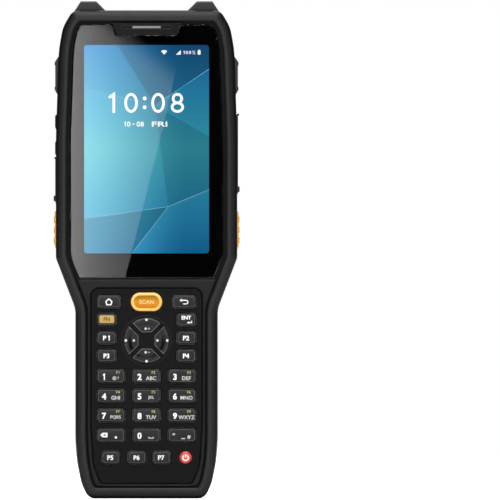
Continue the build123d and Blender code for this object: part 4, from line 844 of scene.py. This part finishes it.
def make_glass_border():
    """The black ink behind the screen glass, with the window left clear over the picture."""
    sheet = bmesh.new()
    outline = glass_outline()
    window = round_box(0, (LIT_LOW + LIT_HIGH) / 2, 2 * LIT_HALF, LIT_HIGH - LIT_LOW, LIT_CORNER)
    for depth in (0.0, -INK):
        rings = []
        for points in (outline, window):
            corners = [sheet.verts.new((x, depth, z)) for x, z in points]
            rings += [sheet.edges.new((corners[i - 1], corners[i])) for i in range(len(corners))]
        bmesh.ops.triangle_fill(sheet, use_beauty=True, edges=rings)
    lay(sheet, "glass_border_print", [BORDER_INK], "terminal", PRINT_BEHIND_GLASS)


def glass_outline():
    """The screen glass's own outline, read from its node and drawn in by a hair."""
    mesh = NODES["screen_glass"].data
    rear = max(v.co.y for v in mesh.vertices)
    ring = bmesh.new()
    ring.from_mesh(mesh)
    bmesh.ops.remove_doubles(ring, verts=ring.verts, dist=0.001 * MM)
    ring.faces.ensure_lookup_table()
    flat = [f for f in ring.faces if all(abs(v.co.y - rear) < 0.01 * MM for v in f.verts)]
    rim = [e for e in ring.edges if sum(f in flat for f in e.link_faces) == 1]
    follow = {}
    for e in rim:
        for a, b in ((e.verts[0], e.verts[1]), (e.verts[1], e.verts[0])):
            follow.setdefault(a, []).append(b)
    start = rim[0].verts[0]
    points, here, before = [], start, None
    while True:
        points.append((here.co.x / MM, here.co.z / MM))
        onward = [v for v in follow[here] if v is not before][0]
        here, before = onward, here
        if here is start:
            break
    ring.free()
    middle = Vector(GLASS_MIDDLE)
    return [tuple(middle + (Vector(p) - middle) * GLASS_SHARE) for p in points]


def make_picture():
    """The lit wallpaper: plain facets in a loose fan, each a little lighter or darker than the next."""
    sheet = bmesh.new()
    shade = sheet.loops.layers.color.new("facet")
    left, right, low, high = -LIT_HALF, LIT_HALF, LIT_LOW, LIT_HIGH
    hub, crest, foot = (3.5, 163.0), (right, 178.0), (-6.0, low)
    ledge, spur, edge = (left, 116.0), (9.0, 121.0), (right, 128.0)
    facets = (
        ([(left, high), (-12.0, high), hub, (left, 170.0)], 1.05),
        ([(-12.0, high), (right, high), crest, hub], 0.90),
        ([crest, (right, 150.0), hub], 1.10),
        ([(left, 170.0), hub, spur, ledge], 1.08),
        ([hub, (right, 150.0), edge, spur], 0.98),
        ([ledge, spur, foot, (left, low)], 0.92),
        ([spur, edge, (right, low), foot], 1.12),
    )
    for corners, tone in facets:
        face = sheet.faces.new([sheet.verts.new((x, 0, z)) for x, z in corners])
        for loop in face.loops:
            loop[shade] = (tone / 1.2, tone / 1.2, tone / 1.2, 1.0)
    bmesh.ops.remove_doubles(sheet, verts=sheet.verts, dist=0.001)
    lay(sheet, "display_picture", [PICTURE], "terminal", PICTURE_DEPTH)
    sheet = bmesh.new()
    for path in ([ledge, spur, edge], [spur, foot], [hub, crest], [(left, 170.0), hub]):
        stroke(sheet, path, 0.16)
    lay(sheet, "display_facet_lines", [LIT_LINE], "terminal", PICTURE_DEPTH - 0.03)


CLOCK = (("1", -14.0), ("0", -6.4), (":", -0.8), ("0", 4.8), ("8", 12.8))
CLOCK_Z, CLOCK_HIGH, CLOCK_STROKE = 164.0, 8.2, 1.1
DATE = (("1", -8.9), ("0", -7.4), ("0", -3.4), ("8", -1.8))
DATE_Z, DATE_HIGH, DATE_STROKE = 155.2, 2.1, 0.36
CHARGE = (("1", 15.6), ("0", 16.7), ("0", 18.0))
STATUS_Z = 184.9


def make_screen_icons():
    """The clock, the date and the row of small status marks."""
    sheet = bmesh.new()
    for sign, x in CLOCK:
        draw_sign(sheet, sign, x, CLOCK_Z, CLOCK_HIGH, CLOCK_STROKE)
    for sign, x in DATE:
        draw_sign(sheet, sign, x, DATE_Z, DATE_HIGH, DATE_STROKE)
    stroke(sheet, [(-5.9, DATE_Z), (-4.9, DATE_Z)], DATE_STROKE)
    write(sheet, "FRI", 5.4, DATE_Z, DATE_HIGH, bold=BOLD * 0.5, width=6.4)
    stamp(sheet, [(7.3, STATUS_Z - 0.9)] + arc(7.3, STATUS_Z - 0.9, 1.9, 48, 132, 8))
    stamp(sheet, [(12.2, STATUS_Z - 0.9), (14.2, STATUS_Z - 0.9), (14.2, STATUS_Z + 1.0)])
    for sign, x in CHARGE:
        draw_sign(sheet, sign, x, STATUS_Z, 1.35, 0.25)
    write(sheet, "%", 19.6, STATUS_Z, 1.5, width=1.3)
    stamp(sheet, round_box(21.8, STATUS_Z - 0.05, 1.2, 1.7, 0.2, 3))
    stamp(sheet, round_box(21.8, STATUS_Z + 1.0, 0.6, 0.3, 0.1, 3))
    lay(sheet, "display_icons", [LIT_WHITE], "terminal", ICON_DEPTH)


# ---------------------------------------------------------------- rear window
BACK_PRINT = -9.62              # depth of the print under the rear pane, seen from behind
FIELD_LOW = 182.1               # lower edge of the yellow field
PRINT_IN, FIELD_IN = 0.25, 0.15     # the print lies inside the pane's edge, and the field inside the print's
PRINT_CORNER, FIELD_CORNER = 1.6, 2.2


def make_rear_print():
    """Black ink under the rear pane, with a bare yellow field across its top."""
    low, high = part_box("back_window")
    half, bottom, top = high.x / MM - PRINT_IN, low.z / MM + PRINT_IN, high.z / MM - PRINT_IN
    sheet = bmesh.new()
    stamp(sheet, round_box(0, (bottom + top) / 2, 2 * half, top - bottom, PRINT_CORNER), thick=0.01)
    lay(sheet, "window_black_print", [BORDER_INK], "terminal", -BACK_PRINT, facing_back=True)
    sheet = bmesh.new()
    edge, corner = half - FIELD_IN, FIELD_CORNER
    turn_z = top - corner - FIELD_IN
    stamp(sheet, [(edge, FIELD_LOW)] + arc(edge - corner, turn_z, corner, 0, 90)
          + arc(corner - edge, turn_z, corner, 90, 180) + [(-edge, FIELD_LOW)])
    lay(sheet, "yellow_field", [YELLOW_INK], "terminal", -BACK_PRINT + 0.05, facing_back=True)


# ---------------------------------------------------------------- screws
# the head's rings: share of its radius, height, and how deep the star's six lobes are
SCREW_RINGS = ((1.0, -0.9, 0.0), (1.0, -0.35, 0.0), (0.93, -0.12, 0.0), (0.8, 0.0, 0.0),
               (0.558, 0.0, 0.1778), (0.558, -0.7, 0.1778))


def make_screw_heads():
    """Domed heads with a six-lobed socket, one over each screw of the housing."""
    source = bmesh.new()
    source.from_mesh(NODES["housing_screws"].data)
    bmesh.ops.remove_doubles(source, verts=source.verts, dist=0.001 * MM)
    seen, heads = set(), []
    for start in source.verts:
        if start in seen:
            continue
        group, todo = [], [start]
        seen.add(start)
        while todo:
            here = todo.pop()
            group.append(here.co.copy())
            for edge in here.link_edges:
                other = edge.other_vert(here)
                if other not in seen:
                    seen.add(other)
                    todo.append(other)
        rear = max(p.y for p in group)
        cap = [p for p in group if p.y > rear - 0.6 * MM]
        x = (min(p.x for p in cap) + max(p.x for p in cap)) / 2
        z = (min(p.z for p in cap) + max(p.z for p in cap)) / 2
        heads.append((x / MM, z / MM, rear / MM, (max(p.x for p in cap) - min(p.x for p in cap)) / 2 / MM))
    source.free()
    sheet = bmesh.new()
    turns = [2 * math.pi * i / 36 for i in range(36)]
    for x, z, rear, radius in heads:
        rings = []
        for share, height, lobe in SCREW_RINGS:
            reach = [radius * share * (1 + lobe * math.cos(6 * turn)) for turn in turns]
            rings.append([(x + r * math.cos(turn), rear + height, z + r * math.sin(turn))
                          for r, turn in zip(reach, turns)])
        shell(sheet, rings)
    piece = lay(sheet, "screw_heads", [SCREW], "terminal", 0.0)
    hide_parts("housing_screws")


# ---------------------------------------------------------------- port cover hinges
HINGE_OUT = 37.95               # the covers' hinge lines, to either side of the middle
HINGE_ROLL = ((-2.9, 0.2), (-2.7, 0.45), (-1.1, 0.45), (-1.0, 0.37), (-0.9, 0.45), (0.9, 0.45), (1.0, 0.37),
              (1.1, 0.45), (2.7, 0.45), (2.9, 0.2))   # along the line, and radius


def make_cover_hinges():
    """A rolled rubber bead with flex grooves on each port cover's hinge line; the cover turns round it."""
    for side, name in ((-1, "left"), (1, "right")):
        low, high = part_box("port_cover_" + name)
        y, z = (low.y + high.y) / 2 / MM, high.z / MM
        bead = bmesh.new()
        shell(bead, [[(side * HINGE_OUT + reach * math.cos(turn), y + along, z + reach * math.sin(turn))
                      for turn in (2 * math.pi * i / 16 for i in range(16))] for along, reach in HINGE_ROLL])
        lay(bead, "hinge_bead_" + name, [RUBBER], "terminal", 0.0)


make_key_legends()
make_pad_marks()
make_glass_border()
make_picture()
make_screen_icons()
make_rear_print()
make_screw_heads()
make_cover_hinges()


# ---------------------------------------------------------------- floor, lamps and camera
def make_floor():
    """A pale round floor: white where it is lit, with the object's soft shadow."""
    made, tree = unmade("floor_matt_white")
    seen = add(tree, "LightPath").outputs["Is Camera Ray"]
    grain = add(tree, "TexNoise", {"Scale": 40.0})
    tone = add(tree, "ValToRGB", {"Fac": grain.outputs["Fac"]}, stops=[(0.3, "#e4e4e4"), (0.7, "#e8e8e8")])
    matt = add(tree, "BsdfDiffuse", {"Color": tone.outputs[0]})
    glow = add(tree, "Emission", {"Color": linear("#ffffff"), "Strength":
                                  add(tree, "Math", {0: seen, 1: 0.5}, operation="MULTIPLY").outputs[0]})
    both = add(tree, "AddShader", {0: matt.outputs[0], 1: glow.outputs[0]})
    add(tree, "OutputMaterial", {"Surface": both.outputs[0]})
    sheet = bmesh.new()
    bmesh.ops.create_circle(sheet, cap_ends=True, segments=96, radius=1.2)
    floor = make_piece(sheet, "floor", [made])
    floor.location.z = -0.1 * MM
    floor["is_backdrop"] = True


def make_lamp(name, place, target, width, height, radiance):
    """A soft box of that radiance, turned to its target."""
    lamp = bpy.data.lights.new(name, "AREA")
    lamp.shape, lamp.size, lamp.size_y = "RECTANGLE", width, height
    lamp.energy = radiance * math.pi * width * height
    holder = bpy.data.objects.new(name, lamp)
    holder.location = place
    holder.rotation_euler = (Vector(target) - Vector(place)).to_track_quat("-Z", "Y").to_euler()
    holder.visible_camera = False
    bpy.context.scene.collection.objects.link(holder)


def make_lamps():
    """Two wide soft boxes overhead, and a pair of tall ones in front and behind."""
    heart = (0.0, 0.0, 0.1)
    make_lamp("lamp_top", (0.0, -0.25, 1.05), heart, 0.9, 0.8, 7.0)
    make_lamp("lamp_top_rear", (0.0, 0.55, 0.95), heart, 0.9, 0.5, 6.0)
    for end, side, levels in (("front", -1, (3.2, 3.2)), ("rear", 1, (3.0, 4.6))):
        for hand, x, level in zip(("left", "right"), (-0.27, 0.27), levels):
            make_lamp(f"lamp_{end}_{hand}", (x, side * 1.45, 0.3), heart, 0.33, 1.2, level)


def make_studio():
    """White to the eye and through glass, but dim in what it lights and mirrors: black gloss stays black."""
    world = bpy.data.worlds.new("studio")
    bpy.context.scene.world = world
    world.use_nodes = True
    tree = world.node_tree
    tree.nodes.clear()
    path = add(tree, "LightPath")
    dim = add(tree, "Mix", {"Factor": path.outputs["Is Glossy Ray"], "A": 0.3, "B": 0.02})
    clear = add(tree, "Math", {0: path.outputs["Is Camera Ray"], 1: path.outputs["Is Transmission Ray"]},
                operation="MAXIMUM")
    level = add(tree, "Mix", {"Factor": clear.outputs[0], "A": dim.outputs[0], "B": 1.0})
    sky = add(tree, "Background", {"Color": linear("#ffffff"), "Strength": level.outputs[0]})
    add(tree, "OutputWorld", {"Surface": sky.outputs[0]})


CARD_AWAY = 0.5                 # metres from the object to a gloss card
CAMERA_AWAY = 6.0
VIEW_X, VIEW_Z = 42.9, 103.0    # point of the object's plane in the middle of the view
VIEW_WIDTH = 207.25             # how much of that plane the view takes in


def make_gloss_card(name, seen, side, dim, bright, bend, fade, ends):
    """A lit card that only glossy surfaces see; its outline is given where it shows in the flat glass.

    Its light grows from dim at one side to bright at the other, by a power of the way across, and
    fades out between two ends along a direction of its box.
    """
    away = CARD_AWAY / CAMERA_AWAY
    middle_x = VIEW_X if side < 0 else 0.0      # the view from behind has the object in its middle
    sheet = bmesh.new()
    sheet.faces.new([sheet.verts.new(((x + (x - middle_x) * away) * MM, 0, (z + (z - VIEW_Z) * away) * MM))
                     for x, z in seen])
    made, tree = unmade("card_lit_paper")
    place = add(tree, "TexCoord").outputs["Generated"]
    across = add(tree, "MapRange", {"Value": add(tree, "SeparateXYZ", {0: place}).outputs["X"],
                                    "To Min": float(side < 0), "To Max": float(side > 0)})
    curve = add(tree, "Math", {0: across.outputs[0], 1: bend}, operation="POWER")
    rise = add(tree, "MapRange", {"Value": curve.outputs[0], "To Min": dim, "To Max": bright})
    along = add(tree, "VectorMath", {0: place, 1: fade}, operation="DOT_PRODUCT")
    left = add(tree, "MapRange", {"Value": along.outputs["Value"], "From Min": ends[0], "From Max": ends[1],
                                  "To Min": 1.0, "To Max": 0.0}, interpolation_type="SMOOTHSTEP")
    level = add(tree, "Math", {0: rise.outputs[0], 1: left.outputs[0]}, operation="MULTIPLY")
    glow = add(tree, "Emission", {"Color": linear("#ffffff"), "Strength": level.outputs[0]})
    add(tree, "OutputMaterial", {"Surface": glow.outputs[0]})
    card = make_piece(sheet, name, [made])
    card.location.y = side * CARD_AWAY
    for ray in ("camera", "diffuse", "transmission", "volume_scatter", "shadow"):
        setattr(card, "visible_" + ray, False)
    card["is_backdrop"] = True


def make_camera():
    """A very long lens straight in front, with the object left of the middle."""
    camera = bpy.data.cameras.new("camera")
    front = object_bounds()[0].y
    camera.lens = camera.sensor_width * CAMERA_AWAY / (VIEW_WIDTH * MM)
    camera.clip_end = 100.0
    holder = bpy.data.objects.new("camera", camera)
    holder.location = (VIEW_X * MM, front - CAMERA_AWAY, VIEW_Z * MM)
    holder.rotation_euler = (math.pi / 2, 0, 0)
    bpy.context.scene.collection.objects.link(holder)
    bpy.context.scene.camera = holder


make_floor()
make_lamps()
make_studio()
make_gloss_card("card_front", ((-36.0, 90.0), (-9.1, 90.0), (6.7, 152.7), (16.9, 198.0), (-36.0, 198.0)),
                side=-1, dim=1.5, bright=6.7, bend=3.3, fade=(0.42, 0.0, 1.08), ends=(1.15, 1.29))
make_gloss_card("card_rear", ((20.0, 150.0), (1.5, 150.0), (-1.5, 196.0), (20.0, 196.0)), side=1,
                dim=1.55, bright=6.0, bend=1.0, fade=(0.0, 0.0, 1.0), ends=(2.0, 3.0))
make_camera()

bpy.context.scene.view_settings.view_transform = "Standard"
